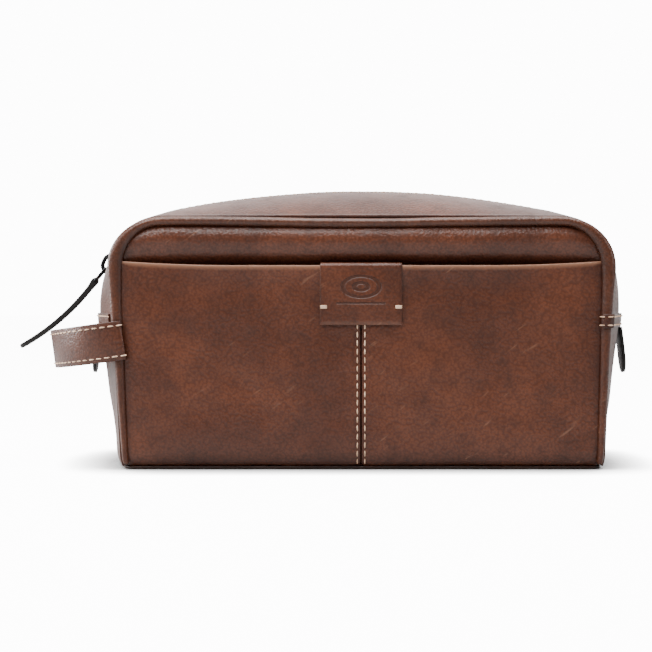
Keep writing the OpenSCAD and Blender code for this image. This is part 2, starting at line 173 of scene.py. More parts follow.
def end_row(s, low, high, d, count=14):
    return [side_point(s, mix(low, high, i / (count - 1)), d) for i in range(count)]


def corner_row(s, d, count=26, steps=30):
    _, arc_z, r = arc_of(s, d)
    start = -mix(SEAM_LEAN, END_LEAN, s)
    if abs(END_SEAM - arc_z) < r:
        start = max(start, math.degrees(math.asin((END_SEAM - arc_z) / r)))
    end = mix(89.7, ZIP_END_ANGLE, s)
    arc = [arc_point(s, mix(start, end, i / steps), d) for i in range(steps + 1)]
    return resample([side_point(s, END_SEAM, d)] + arc, count)


def dome_row(s, d, to_x=0.0, count=20):
    start = arc_point(s, mix(89.7, ZIP_END_ANGLE, s), d)[0]
    return [dome_point(s, mix(start, to_x, i / (count - 1)), d) for i in range(count)]


def zip_row(s, d, to_x=0.0):
    return corner_row(s, d) + dome_row(s, d, to_x)[1:]


print("zip line from end to middle has", len(zip_row(1, 0)), "points")

# %% [markdown]
# A skin of leather is a grid of points with its faces outward. It also keeps a
# number at each point that darkens it near a seam, because a hide darkens where
# it is turned and sewn, and that also lays painted shade in creases, above the
# pocket's mouth and along bottom edges that turn under. Below zero the number
# makes an edge pale, which on the pocket's top edge is a painted highlight.
# Solidify then gives it its thickness, inward.

# %% How the sewn bag settles
def ramp(value, low, high):
    return max(0.0, min(1.0, (value - low) / (high - low)))


def settle(point):
    """The soft seams of a sewn bag stand a little wider than drawn, more at the
    right, and all bottom edges turn under. The zip's plane stays where it is."""
    x, y, z = point
    if abs(x) > 200 or abs(y) > 100:
        return Vector(point)
    side = -1 if x < 0 else 1
    wide = mix(0.0, 1.7, ramp(z, 0, 90)) if side < 0 else 2.2
    wide *= (1 - swell(y)) * ramp(abs(x), 30, 133) ** 2
    turn = 1 - math.sqrt(1 - (0.98 * (1 - ramp(z, 0, 5.5))) ** 2)
    under_x = 3.4 * turn * ramp(abs(x), 112, 124)
    under_y = 1.8 * turn * ramp(abs(y), 46, 58)
    return Vector((x + side * (wide - under_x), y - math.copysign(under_y, y), z))


# %% Grids, sweeps and finishing
def new_mesh_object(name, verts, faces, seam=None, settled=True):
    mesh = bpy.data.meshes.new(name)
    mesh.from_pydata([(settle(v) if settled else Vector(v)) * MM for v in verts], [], faces)
    mesh.update()
    for polygon in mesh.polygons:
        polygon.use_smooth = True
    values = seam if seam is not None else [0.0] * len(verts)
    mesh.attributes.new("seam", "FLOAT", "POINT").data.foreach_set("value", values)
    obj = bpy.data.objects.new(name, mesh)
    bpy.context.scene.collection.objects.link(obj)
    return obj


def grid_object(name, grid, flip=False, seam=None):
    cols = len(grid[0])
    verts = [p for row in grid for p in row]
    faces = []
    for i in range(len(grid) - 1):
        for j in range(cols - 1):
            a, b = i * cols + j, (i + 1) * cols + j
            quad = (a, b, b + 1, a + 1)
            faces.append(quad[::-1] if flip else quad)
    near = [seam(p) for p in verts] if seam else None
    return new_mesh_object(name, verts, faces, near)


def plain_mesh(obj):
    """The finished shape as a plain mesh, with every modifier used up."""
    graph = bpy.context.evaluated_depsgraph_get()
    made = bpy.data.meshes.new_from_object(obj.evaluated_get(graph))
    obj.modifiers.clear()
    obj.data = made
    return obj


def thicken(obj, thickness, rounding=0.35, smooth=1):
    solid = obj.modifiers.new("thickness", "SOLIDIFY")
    solid.thickness = thickness * MM
    solid.offset = -1
    solid.use_even_offset = True
    bevel = obj.modifiers.new("rounding", "BEVEL")
    bevel.width = rounding * MM
    bevel.segments = 2
    bevel.limit_method = "ANGLE"
    bevel.angle_limit = math.radians(50)
    if smooth:
        subdivide = obj.modifiers.new("smooth", "SUBSURF")
        subdivide.levels = subdivide.render_levels = smooth
    return plain_mesh(obj)


def rounded_section(half_w, half_t, r, per_corner=3):
    r = min(r, half_w * 0.98, half_t * 0.98)
    made = []
    for k, (sw, st) in enumerate([(1, 1), (-1, 1), (-1, -1), (1, -1)]):
        for i in range(per_corner + 1):
            a = math.radians(90 * k + 90 * i / per_corner)
            made.append((sw * (half_w - r) + r * math.cos(a), st * (half_t - r) + r * math.sin(a)))
    return made


def sweep(name, stations, closed=False, seam=None, end_caps=True):
    """Joins rings of points. A station is (middle, width direction, thickness
    direction, section), and the section is a list of (along width, along thickness)."""
    verts, faces, values = [], [], []
    for middle, across, out, section in stations:
        for w, t in section:
            verts.append(Vector(middle) + Vector(across) * w + Vector(out) * t)
            values.append(seam(w, t, section) if seam else 0.0)
    n, count = len(stations[0][3]), len(stations)
    for i in range(count if closed else count - 1):
        a, b = i * n, ((i + 1) % count) * n
        for k in range(n):
            m = (k + 1) % n
            faces.append((a + k, a + m, b + m, b + k))
    if not closed and end_caps:
        faces.append(tuple(range(n))[::-1])
        faces.append(tuple((count - 1) * n + k for k in range(n)))
    obj = new_mesh_object(name, verts, faces, values)
    obj.data.validate()
    fix_normals(obj)
    return obj


def fix_normals(obj):
    work = bmesh.new()
    work.from_mesh(obj.data)
    bmesh.ops.recalc_face_normals(work, faces=work.faces)
    work.to_mesh(obj.data)
    work.free()


# %% [markdown]
# A hide is never quite flat. A slow noise moves each skin by a few tenths of a
# millimetre, and every skin reads the same noise at the same place, so two
# skins that meet still meet after it.

# %% Slow unevenness of the hide
def ripple(x, y, z, size=38.0):
    p = Vector((x, y, z)) / size
    return 0.65 * noise.noise(p) + 0.35 * noise.noise(p * 2.7)


def near_edge(distance, reach):
    return max(0.0, 1 - distance / reach) ** 2


print("ripple at the label", round(ripple(0, -60, 90), 3))

# %% [markdown]
# ## Materials
# Pull-up leather shows four things: a fine pebbled grain, a slow change of tone
# where oil has moved in the hide, darker tone at the turned seams, and faint
# pale scratches. The seam tone also carries painted shade and pale painted edge
# highlights. Each is a node group, so the tan, the black and the base
# leather can share them with their own values.

# %% Node helpers
def new_group(name, inputs, outputs):
    group = bpy.data.node_groups.new(name, "ShaderNodeTree")
    for label, kind, value in inputs:
        socket = group.interface.new_socket(label, in_out="INPUT", socket_type=kind)
        if value is not None:
            socket.default_value = value
    for label, kind in outputs:
        group.interface.new_socket(label, in_out="OUTPUT", socket_type=kind)
    return group, group.nodes.new("NodeGroupInput"), group.nodes.new("NodeGroupOutput")


def add_node(tree, kind, values=None, **settings):
    made = tree.nodes.new(kind)
    for key, value in settings.items():
        setattr(made, key, value)
    for key, value in (values or {}).items():
        made.inputs[key].default_value = value
    return made


def math_node(tree, operation, a, b=0.5):
    made = tree.nodes.new("ShaderNodeMath")
    made.operation = operation
    for k, value in enumerate((a, b)):
        if isinstance(value, (int, float)):
            made.inputs[k].default_value = value
        else:
            tree.links.new(value, made.inputs[k])
    return made.outputs[0]


def color_mix(tree, factor, a, b, blend="MIX"):
    made = tree.nodes.new("ShaderNodeMix")
    made.data_type = "RGBA"
    made.blend_type = blend
    for socket, value in ((made.inputs[0], factor), (made.inputs[6], a), (made.inputs[7], b)):
        if isinstance(value, bpy.types.NodeSocket):
            tree.links.new(value, socket)
        else:
            socket.default_value = value
    return made.outputs[2]


def soft_steps(tree, value, low, high):
    made = tree.nodes.new("ShaderNodeMapRange")
    made.interpolation_type = "SMOOTHSTEP"
    made.inputs[1].default_value = low
    made.inputs[2].default_value = high
    tree.links.new(value, made.inputs[0])
    return made.outputs[0]


# %% [markdown]
# The grain is two sizes of cells with a crease pattern under them. Voronoi
# cells alone look like scales, so a noise bends their coordinates first, and
# the depth fades in patches, as it does where a hide was stretched.

# %% Group: leather grain
def build_grain_group():
    group, gi, go = new_group(
        "leather_grain",
        [("Place", "NodeSocketVector", None), ("Cell Size", "NodeSocketFloat", 900.0),
         ("Crease Amount", "NodeSocketFloat", 0.5)],
        [("Height", "NodeSocketFloat"), ("Cells", "NodeSocketFloat")])
    link = group.links.new
    bend = add_node(group, "ShaderNodeTexNoise", {"Scale": 420.0, "Detail": 2.0})
    link(gi.outputs["Place"], bend.inputs["Vector"])
    push = add_node(group, "ShaderNodeVectorMath", operation="SCALE")
    push.inputs[3].default_value = 0.0012
    link(bend.outputs["Color"], push.inputs[0])
    moved = add_node(group, "ShaderNodeVectorMath", operation="ADD")
    link(gi.outputs["Place"], moved.inputs[0])
    link(push.outputs[0], moved.inputs[1])
    cells = add_node(group, "ShaderNodeTexVoronoi", feature="SMOOTH_F1")
    cells.inputs["Smoothness"].default_value = 0.6
    link(moved.outputs[0], cells.inputs["Vector"])
    link(gi.outputs["Cell Size"], cells.inputs["Scale"])
    crease = add_node(group, "ShaderNodeTexNoise", {"Scale": 160.0, "Detail": 5.0,
                                                    "Roughness": 0.6, "Distortion": 0.6})
    link(gi.outputs["Place"], crease.inputs["Vector"])
    patches = add_node(group, "ShaderNodeTexNoise", {"Scale": 26.0, "Detail": 2.0})
    link(gi.outputs["Place"], patches.inputs["Vector"])
    depth = soft_steps(group, patches.outputs["Fac"], 0.35, 0.65)
    domes = math_node(group, "SUBTRACT", 1.0, cells.outputs["Distance"])
    grain = math_node(group, "MULTIPLY", domes, math_node(group, "MULTIPLY_ADD", depth, 0.5))
    creases = math_node(group, "MULTIPLY", crease.outputs["Fac"], gi.outputs["Crease Amount"])
    link(math_node(group, "ADD", grain, creases), go.inputs["Height"])
    link(soft_steps(group, cells.outputs["Distance"], 0.25, 0.75), go.inputs["Cells"])
    return group


grain_group = build_grain_group()
print("grain group has", len(grain_group.nodes), "nodes")

# %% [markdown]
# The tone group mixes three browns. A wide noise moves between them, a finer
# one mottles them, and the seam value darkens what is turned and sewn, partly as
# the hide's own darker tone and partly as painted shade. Where the value is below
# zero, an edge is made pale instead: a painted highlight on the pocket's top edge
# and a paler foot on the label.

# %% Group: hide tone
def build_tone_group():
    group, gi, go = new_group(
        "hide_tone",
        [("Place", "NodeSocketVector", None), ("Cells", "NodeSocketFloat", 0.0),
         ("Rubbed", "NodeSocketColor", (0.5, 0.3, 0.2, 1)),
         ("Main", "NodeSocketColor", (0.2, 0.1, 0.06, 1)),
         ("Warm", "NodeSocketColor", (0.25, 0.12, 0.07, 1)),
         ("Deep", "NodeSocketColor", (0.08, 0.035, 0.02, 1)),
         ("Seam Shade", "NodeSocketFloat", 0.6)],
        [("Color", "NodeSocketColor"), ("Gloss Change", "NodeSocketFloat")])
    link = group.links.new
    wide = add_node(group, "ShaderNodeTexNoise", {"Scale": 17.0, "Detail": 3.0, "Roughness": 0.55})
    fine = add_node(group, "ShaderNodeTexNoise", {"Scale": 95.0, "Detail": 6.0, "Roughness": 0.65})
    link(gi.outputs["Place"], wide.inputs["Vector"])
    link(gi.outputs["Place"], fine.inputs["Vector"])
    tone = color_mix(group, soft_steps(group, wide.outputs["Fac"], 0.38, 0.68),
                     gi.outputs["Main"], gi.outputs["Warm"])
    mottle = soft_steps(group, fine.outputs["Fac"], 0.42, 0.85)
    tone = color_mix(group, math_node(group, "MULTIPLY", mottle, 0.55), tone, gi.outputs["Deep"])
    in_cells = math_node(group, "MULTIPLY", gi.outputs["Cells"], 0.42)
    tone = color_mix(group, in_cells, tone, gi.outputs["Deep"])
    seam = add_node(group, "ShaderNodeAttribute", attribute_name="seam")
    # The noise makes the seam darkening uneven; that darkening is partly the hide's own tone and partly
    # painted shade.
    worn = math_node(group, "MULTIPLY_ADD", fine.outputs["Fac"], 0.5)
    dark = math_node(group, "MULTIPLY", seam.outputs["Fac"], gi.outputs["Seam Shade"])
    dark = math_node(group, "MULTIPLY", dark, worn)
    tone = color_mix(group, dark, tone, gi.outputs["Deep"])
    # Below zero the seam value lays the pale colour on: a painted highlight on the pocket's top edge.
    rubbed = math_node(group, "MULTIPLY", seam.outputs["Fac"], -1.0)
    link(color_mix(group, rubbed, tone, gi.outputs["Rubbed"]), go.inputs["Color"])
    link(mottle, go.inputs["Gloss Change"])
    return group


tone_group = build_tone_group()

# %% [markdown]
# Scratches are long thin islands of a noise that is stretched twenty times one
# way. Only the very top of the noise shows, so they stay few and faint.

# %% Group: faint scratches
def build_scratch_group():
    group, gi, go = new_group(
        "faint_scratches",
        [("Place", "NodeSocketVector", None), ("Turn", "NodeSocketVector", (0.3, 0.9, 0.5))],
        [("Mask", "NodeSocketFloat")])
    link = group.links.new
    turned = add_node(group, "ShaderNodeMapping", vector_type="TEXTURE")
    turned.inputs["Scale"].default_value = (0.0022, 0.0022, 0.019)
    link(gi.outputs["Place"], turned.inputs["Vector"])
    link(gi.outputs["Turn"], turned.inputs["Rotation"])
    lines = add_node(group, "ShaderNodeTexNoise", {"Scale": 1.0, "Detail": 1.0})
    link(turned.outputs[0], lines.inputs["Vector"])
    where = add_node(group, "ShaderNodeTexNoise", {"Scale": 21.0, "Detail": 1.0})
    link(gi.outputs["Place"], where.inputs["Vector"])
    thin = soft_steps(group, lines.outputs["Fac"], 0.66, 0.80)
    few = soft_steps(group, where.outputs["Fac"], 0.52, 0.66)
    link(math_node(group, "MULTIPLY", thin, few), go.inputs["Mask"])
    return group


scratch_group = build_scratch_group()


# %% [markdown]
# Each leather puts the three groups together. The numbers that are the same
# all over, such as the coat's roughness, are set on the shader itself.

# %% Leather materials
def new_material(name):
    material = bpy.data.materials.new(name)
    material.use_nodes = True
    tree = material.node_tree
    shader = tree.nodes["Principled BSDF"]
    place = tree.nodes.new("ShaderNodeTexCoord").outputs["Object"]
    return material, tree, shader, place


def use_group(tree, group, place, **values):
    made = tree.nodes.new("ShaderNodeGroup")
    made.node_tree = group
    tree.links.new(place, made.inputs["Place"])
    for key, value in values.items():
        made.inputs[key.replace("_", " ")].default_value = value
    return made


def leather_material(name, main, warm, deep, pale_scratch_and_highlight, roughness, cell=760.0, depth=0.0005,
                     crease=0.5, seam_shade=0.6, coat=0.1, scratch=0.5):
    material, tree, shader, place = new_material(name)
    link = tree.links.new
    grain = use_group(tree, grain_group, place, Cell_Size=cell, Crease_Amount=crease)
    tone = use_group(tree, tone_group, place, Main=(*main, 1), Warm=(*warm, 1),
                     Deep=(*deep, 1), Rubbed=(*pale_scratch_and_highlight, 1), Seam_Shade=seam_shade)
    link(grain.outputs["Cells"], tone.inputs["Cells"])
    marks = use_group(tree, scratch_group, place)
    shown = math_node(tree, "MULTIPLY", marks.outputs["Mask"], scratch)
    # The pale colour is used for the scratches and, through the tone group, as a painted edge highlight.
    link(color_mix(tree, shown, tone.outputs["Color"], (*pale_scratch_and_highlight, 1)), shader.inputs["Base Color"])
    change = math_node(tree, "MULTIPLY", tone.outputs["Gloss Change"], 0.16)
    link(math_node(tree, "ADD", change, roughness), shader.inputs["Roughness"])
    bump = add_node(tree, "ShaderNodeBump", {"Strength": 0.55, "Distance": depth})
    link(grain.outputs["Height"], bump.inputs["Height"])
    link(bump.outputs["Normal"], shader.inputs["Normal"])
    shader.inputs["Specular IOR Level"].default_value = 0.36
    shader.inputs["Coat Weight"].default_value = coat
    shader.inputs["Coat Roughness"].default_value = 0.28
    return material


tan = leather_material("tan_leather", (0.082, 0.0235, 0.0105), (0.128, 0.038, 0.017),
                       (0.020, 0.0052, 0.0024), (0.25, 0.12, 0.07), 0.34)
# The ridge leather is the tan with a darker warm tone and stronger seam darkening: painted shade on the
# turned ridge.
shaded_ridge_tan = leather_material("ridge_leather", (0.078, 0.0235, 0.0102), (0.108, 0.034, 0.0152),
                             (0.022, 0.006, 0.0028), (0.28, 0.14, 0.08), 0.36, seam_shade=0.9)
base_brown = leather_material("base_leather", (0.035, 0.010, 0.005), (0.05, 0.015, 0.007),
                              (0.01, 0.004, 0.002), (0.15, 0.07, 0.04), 0.5)
black = leather_material("black_leather", (0.012, 0.0105, 0.0095), (0.02, 0.018, 0.016),
                         (0.004, 0.0035, 0.003), (0.09, 0.085, 0.08), 0.42, cell=1300.0,
                         depth=0.0001, coat=0.05, scratch=0.25)
print("leathers made")

# %% [markdown]
# A leather edge that was painted is smoother and darker than the face. Thread
# has a twist, which a wave along its length gives. The zip tape and the lining
# are woven, so two crossed waves make their threads.

# %% Group: weave, and the cloth, thread and metal
def build_weave_group():
    group, gi, go = new_group(
        "plain_weave",
        [("Place", "NodeSocketVector", None), ("Threads", "NodeSocketFloat", 900.0)],
        [("Height", "NodeSocketFloat"), ("Fleck", "NodeSocketFloat")])
    link = group.links.new
    waves = []
    for direction in ("X", "Y", "Z"):
        wave = add_node(group, "ShaderNodeTexWave", bands_direction=direction)
        wave.inputs["Distortion"].default_value = 0.4
        link(gi.outputs["Place"], wave.inputs["Vector"])
        link(gi.outputs["Threads"], wave.inputs["Scale"])
        waves.append(wave.outputs["Fac"])
    woven = math_node(group, "MAXIMUM", math_node(group, "MAXIMUM", waves[0], waves[1]), waves[2])
    link(woven, go.inputs["Height"])
    fleck = add_node(group, "ShaderNodeTexNoise", {"Scale": 700.0, "Detail": 2.0})
    link(gi.outputs["Place"], fleck.inputs["Vector"])
    link(fleck.outputs["Fac"], go.inputs["Fleck"])
    return group


weave_group = build_weave_group()


def cloth_material(name, dark, light, threads, roughness=0.85):
    material, tree, shader, place = new_material(name)
    link = tree.links.new
    weave = use_group(tree, weave_group, place, Threads=threads)
    shade = math_node(tree, "MULTIPLY", weave.outputs["Height"], weave.outputs["Fleck"])
    link(color_mix(tree, shade, (*dark, 1), (*light, 1)), shader.inputs["Base Color"])
    rough = math_node(tree, "MULTIPLY_ADD", weave.outputs["Fleck"], 0.2)
    rough.node.inputs[2].default_value = roughness - 0.1
    link(rough, shader.inputs["Roughness"])
    bump = add_node(tree, "ShaderNodeBump", {"Strength": 0.6, "Distance": 0.0002})
    link(weave.outputs["Height"], bump.inputs["Height"])
    link(bump.outputs["Normal"], shader.inputs["Normal"])
    return material


def twist_material(name, dark, light):
    material, tree, shader, place = new_material(name)
    link = tree.links.new
    twist = add_node(tree, "ShaderNodeTexWave", {"Scale": 900.0, "Distortion": 1.5},
                     bands_direction="DIAGONAL")
    link(place, twist.inputs["Vector"])
    dirt = add_node(tree, "ShaderNodeTexNoise", {"Scale": 60.0, "Detail": 3.0})
    link(place, dirt.inputs["Vector"])
    tone = color_mix(tree, soft_steps(tree, dirt.outputs["Fac"], 0.35, 0.7), (*light, 1), (*dark, 1))
    # The twist's bands darken the thread's colour: painted shade in the grooves of the twist.
    fold = math_node(tree, "MULTIPLY", twist.outputs["Fac"], 0.35)
    link(color_mix(tree, fold, tone, (*dark, 1)), shader.inputs["Base Color"])
    rough = math_node(tree, "MULTIPLY_ADD", twist.outputs["Fac"], 0.2)
    link(rough, shader.inputs["Roughness"])
    bump = add_node(tree, "ShaderNodeBump", {"Strength": 0.5, "Distance": 0.0001})
    link(twist.outputs["Fac"], bump.inputs["Height"])
    link(bump.outputs["Normal"], shader.inputs["Normal"])
    return material


def metal_material(name, dark, worn, roughness):
    material, tree, shader, place = new_material(name)
    link = tree.links.new
    wear = add_node(tree, "ShaderNodeTexNoise", {"Scale": 300.0, "Detail": 4.0})
    link(place, wear.inputs["Vector"])
    rubbed = soft_steps(tree, wear.outputs["Fac"], 0.55, 0.8)
    link(color_mix(tree, rubbed, (*dark, 1), (*worn, 1)), shader.inputs["Base Color"])
    change = math_node(tree, "MULTIPLY", wear.outputs["Fac"], 0.2)
    link(math_node(tree, "ADD", change, roughness - 0.1), shader.inputs["Roughness"])
    bump = add_node(tree, "ShaderNodeBump", {"Strength": 0.25, "Distance": 0.00005})
    link(wear.outputs["Fac"], bump.inputs["Height"])
    link(bump.outputs["Normal"], shader.inputs["Normal"])
    shader.inputs["Metallic"].default_value = 0.9
    return material


thread = twist_material("cream_thread", (0.50, 0.31, 0.20), (0.86, 0.60, 0.42))
tape = cloth_material("zip_tape", (0.006, 0.006, 0.007), (0.035, 0.033, 0.034), 520.0)
lining = cloth_material("lining_cloth", (0.03, 0.022, 0.018), (0.10, 0.078, 0.062), 430.0)
foam = cloth_material("foam", (0.22, 0.20, 0.18), (0.4, 0.38, 0.35), 200.0)
board = cloth_material("board", (0.25, 0.16, 0.09), (0.42, 0.30, 0.18), 120.0)
gunmetal = metal_material("black_metal", (0.02, 0.02, 0.022), (0.11, 0.105, 0.1), 0.34)
edge_paint = leather_material("edge_paint", (0.030, 0.013, 0.009), (0.045, 0.02, 0.013),
                              (0.012, 0.006, 0.004), (0.12, 0.07, 0.05), 0.36, depth=0.00008,
                              coat=0.3, scratch=0.1)
print("cloth, thread and metal made")


def dress(obj, *materials):
    obj.data.materials.clear()
    for material in materials:
        obj.data.materials.append(material)
    return obj


# %% [markdown]
# ## Camera, floor and light
# A product table: a pale floor that runs out of view, one wide soft box above
# and in front, and a pale room round it. The lens stays level, and its shift
# frames the bag a little above the middle.

# %% Camera
camera_data = bpy.data.cameras.new("camera")
camera_data.sensor_width = 36.0
camera_data.lens = 103.25
camera_data.shift_y = -0.0552
camera_data.clip_end = 20.0
camera = bpy.data.objects.new("camera", camera_data)
camera.location = (-0.0187, -1.058, 0.096)
camera.rotation_euler = (math.radians(90), 0, 0)
bpy.context.scene.collection.objects.link(camera)
bpy.context.scene.camera = camera
print("camera", tuple(round(v, 3) for v in camera.location))


# %% Floor and lights
def soft_box(name, place, aim, size, power, colour=(1, 1, 1)):
    data = bpy.data.lights.new(name, "AREA")
    data.shape = "RECTANGLE"
    data.size, data.size_y = size
    data.energy = power
    data.color = colour
    lamp = bpy.data.objects.new(name, data)
    lamp.location = place
    direction = Vector(aim) - Vector(place)
    lamp.rotation_euler = direction.to_track_quat("-Z", "Y").to_euler()
    bpy.context.scene.collection.objects.link(lamp)
    return lamp


def shown_brighter(tree, ray, plain, bright):
    """Picks a brighter value for what the camera sees directly."""
    pick = tree.nodes.new("ShaderNodeMix")
    tree.links.new(ray, pick.inputs[0])
    pick.inputs[2].default_value = plain
    pick.inputs[3].default_value = bright
    return pick.outputs[0]


def make_floor(half=6.0, steps=6):
    grid = [[(mix(-half, half, i / steps) / MM, mix(-half, half, j / steps) / MM, 0)
             for j in range(steps + 1)] for i in range(steps + 1)]
    floor = grid_object("floor", grid)
    material, tree, shader, place = new_material("pale_floor")
    dust = add_node(tree, "ShaderNodeTexNoise", {"Scale": 3.0, "Detail": 2.0})
    tree.links.new(place, dust.inputs["Vector"])
    tree.links.new(color_mix(tree, dust.outputs["Fac"], (0.40, 0.40, 0.40, 1), (0.44, 0.44, 0.44, 1)),
                   shader.inputs["Base Color"])
    shader.inputs["Roughness"].default_value = 0.9
    shader.inputs["Specular IOR Level"].default_value = 0.1
    ray = tree.nodes.new("ShaderNodeLightPath").outputs["Is Camera Ray"]
    shader.inputs["Emission Color"].default_value = (1, 1, 1, 1)
    # Near the bag, the floor's glow seen by the camera is dimmed by ambient occlusion: a painted contact
    # shadow.
    contact_occlusion = add_node(tree, "ShaderNodeAmbientOcclusion", {"Distance": 0.035}, samples=8)
    painted_contact_shadow = math_node(tree, "POWER", contact_occlusion.outputs["AO"], 5.0)
    shown = shown_brighter(tree, ray, 0.0, 12.0)
    tree.links.new(math_node(tree, "MULTIPLY", painted_contact_shadow, shown), shader.inputs["Emission Strength"])
    dress(floor, material)
    floor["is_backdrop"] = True
    return floor


def make_room():
    world = bpy.data.worlds.new("room")
    world.use_nodes = True
    tree = world.node_tree
    sky = tree.nodes["Background"]
    ray = tree.nodes.new("ShaderNodeLightPath").outputs["Is Camera Ray"]
    view = tree.nodes.new("ShaderNodeSeparateXYZ")
    tree.links.new(tree.nodes.new("ShaderNodeTexCoord").outputs["Generated"], view.inputs[0])
    backdrop = math_node(tree, "MULTIPLY_ADD", soft_steps(tree, view.outputs["Y"], 0.1, 0.8), 1.7)
    backdrop.node.inputs[2].default_value = 0.12
    pick = tree.nodes.new("ShaderNodeMix")
    tree.links.new(ray, pick.inputs[0])
    tree.links.new(backdrop, pick.inputs[2])
    pick.inputs[3].default_value = 13.0
    tree.links.new(pick.outputs[0], sky.inputs["Strength"])
    sky.inputs["Color"].default_value = (1.0, 1.0, 1.0, 1)
    bpy.context.scene.world = world


make_floor()
make_room()
soft_box("key", (-1.1, -0.75, 0.75), (-0.08, 0, 0.07), (0.6, 0.8), 8)
soft_box("top", (0.0, -0.1, 1.1), (0, 0, 0.1), (1.2, 0.6), 26)
soft_box("brow", (-0.35, -0.65, 0.95), (-0.06, 0, 0.12), (1.1, 0.22), 11)
soft_box("left_end", (-1.1, 0.15, 0.35), (-0.1, 0, 0.08), (0.6, 0.5), 18)
soft_box("right_end", (1.0, -0.35, 0.5), (0.1, 0, 0.1), (0.3, 0.7), 3)
print("lights set")

# %% [markdown]
# ## The front wall
# The front wall is padded. Above the pocket it swells forward between the
# ridge and the pocket's edge, and below that edge it drops back and leaves a
# dark slot. The sheet is drawn with that profile, and then filled by a short
# cloth simulation so that the swell is uneven, as a filled panel is.

# %% Panels inside a ridge
def panel_half_width(z, d):
    if z > SEAM_TOP - CORNER_R:
        _, arc_z, r = arc_of(0, d)
        return arc_of(0, d)[0] + math.sqrt(max(0.0, r * r - (z - arc_z) ** 2))
    return -side_point(0, z, d)[0]


def panel_rows(low, top, d, count):
    """Heights that crowd together towards the top, where the corners are round."""
    return [low + (top - d - low) * math.sin(math.pi / 2 * i / (count - 1)) ** 0.9
            for i in range(count)]


def panel_grid(d, low, depth_at, rows=34, cols=65):
    grid = []
    for z in panel_rows(low, SEAM_TOP, d, rows):
        half = panel_half_width(min(z, SEAM_TOP - d - 0.02), d)
        row = []
        for j in range(cols):
            u = -1 + 2 * j / (cols - 1)
            u = math.copysign(1 - (1 - abs(u)) ** 1.25, u)
            x = u * half
            row.append((x, depth_at(x, z, half), z))
        grid.append(row)
    return grid


def fill_with_cloth(obj, pinned, most, pressure, frames=18):
    """Fills a sheet like a pillow against a fixed back, and adds at most `most` mm."""
    mesh = obj.data
    n = len(mesh.vertices)
    rest = [v.co.copy() for v in mesh.vertices]
    inward = -sum((p.normal * p.area for p in mesh.polygons), Vector()).normalized()
    verts = rest + [p + inward * 8 * MM for p in rest]
    faces = [tuple(p.vertices) for p in mesh.polygons]
    faces += [tuple(v + n for v in reversed(f)) for f in faces]
    rim = open_edge_keys(mesh)
    for edge in mesh.edges:
        a, b = edge.vertices
        if pinned(rest[a] / MM) and pinned(rest[b] / MM) and edge.key in rim:
            faces.append((a, b, b + n, a + n))
    pillow = new_mesh_object("pillow", [v / MM for v in verts], faces, None, False)
    fix_normals(pillow)
    hold = pillow.vertex_groups.new(name="hold")
    hold.add([i for i in range(n) if pinned(rest[i] / MM)] + list(range(n, 2 * n)), 1.0, "ADD")
    cloth = pillow.modifiers.new("fill", "CLOTH")
    cloth.settings.quality = 5
    cloth.settings.mass = 0.4
    cloth.settings.tension_stiffness = 40
    cloth.settings.compression_stiffness = 25
    cloth.settings.bending_stiffness = 8
    cloth.settings.use_pressure = True
    cloth.settings.uniform_pressure_force = pressure
    cloth.settings.effector_weights.gravity = 0
    cloth.settings.vertex_group_mass = "hold"
    cloth.collision_settings.use_collision = False
    scene = bpy.context.scene
    for step in range(1, frames + 1):
        scene.frame_set(step)
    graph = bpy.context.evaluated_depsgraph_get()
    filled = pillow.evaluated_get(graph).data
    widest = 0.0
    for i in range(n):
        move = filled.vertices[i].co - rest[i]
        if move.length > most * MM:
            move.length = most * MM
        widest = max(widest, move.length)
        mesh.vertices[i].co = rest[i] + move
    scene.frame_set(1)
    bpy.data.objects.remove(pillow)
    mesh.update()
    print(obj.name, "filled by", round(widest / MM, 2), "mm")
    return obj


def open_edge_keys(mesh):
    count = {}
    for polygon in mesh.polygons:
        for key in polygon.edge_keys:
            count[key] = count.get(key, 0) + 1
    return {key for key, uses in count.items() if uses == 1}


# %% [markdown]
# The edge of the wall is sewn into the ridge, so it stays where it is. The
# rest may swell. The pocket stands in front of its lower part.

# %% The front wall
POCKET_FACE = -pocket_low.y
POCKET_TOP = pocket_high.z
WALL_SEAM_Y = -56.4


def wall_depth(x, z, half):
    side = 1 - near_edge(half - abs(x), 16.0)
    middle = 1 - near_edge(half - abs(x), 75)
    down = ramp(SEAM_TOP - 4 - z, 0, SEAM_TOP - 4 - POCKET_TOP)
    swelling = math.sin(math.pi * down ** 0.72)
    tucked = 1 / (1 + math.exp((z - POCKET_TOP - 1.6 * middle + 1) / 1.6))
    forward = 5.2 * swelling * (0.3 + 0.7 * side) - 3.6 * tucked * (0.3 * side + 0.7 * middle)
    return WALL_SEAM_Y - forward + 0.35 * ripple(x, 0, z, 22)


def wall_seam_and_pocket_mouth_shade(p):
    half = panel_half_width(min(p[2], SEAM_TOP - 4), 3.4)
    to_top = near_edge(SEAM_TOP - 3.4 - p[2], 6.0)
    # The wall is darkened above the pocket's mouth, where it tucks into the slot: painted shade.
    to_pocket = near_edge(max(0.0, p[2] - POCKET_TOP + 1), 8.0) * (1 - near_edge(half - abs(p[0]), 75))
    return min(1.0, near_edge(half - abs(p[0]), 7.0) + to_top + 1.6 * to_pocket)


front_wall = grid_object("front_wall", panel_grid(3.4, BASE_T + 0.4, wall_depth), True, wall_seam_and_pocket_mouth_shade)
fill_with_cloth(front_wall, lambda p: p.z < POCKET_TOP - 6 or p.z > SEAM_TOP - 4.5
                or panel_half_width(min(p.z, SEAM_TOP - 4), 3.4) - abs(p.x) < 3, 1.2, 4.0)
thicken(front_wall, LEATHER)
dress(front_wall, tan)
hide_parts("front_panel")
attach(front_wall, "bag")

# %% [markdown]
# The back wall is one panel with the same outline. It is only lightly filled.

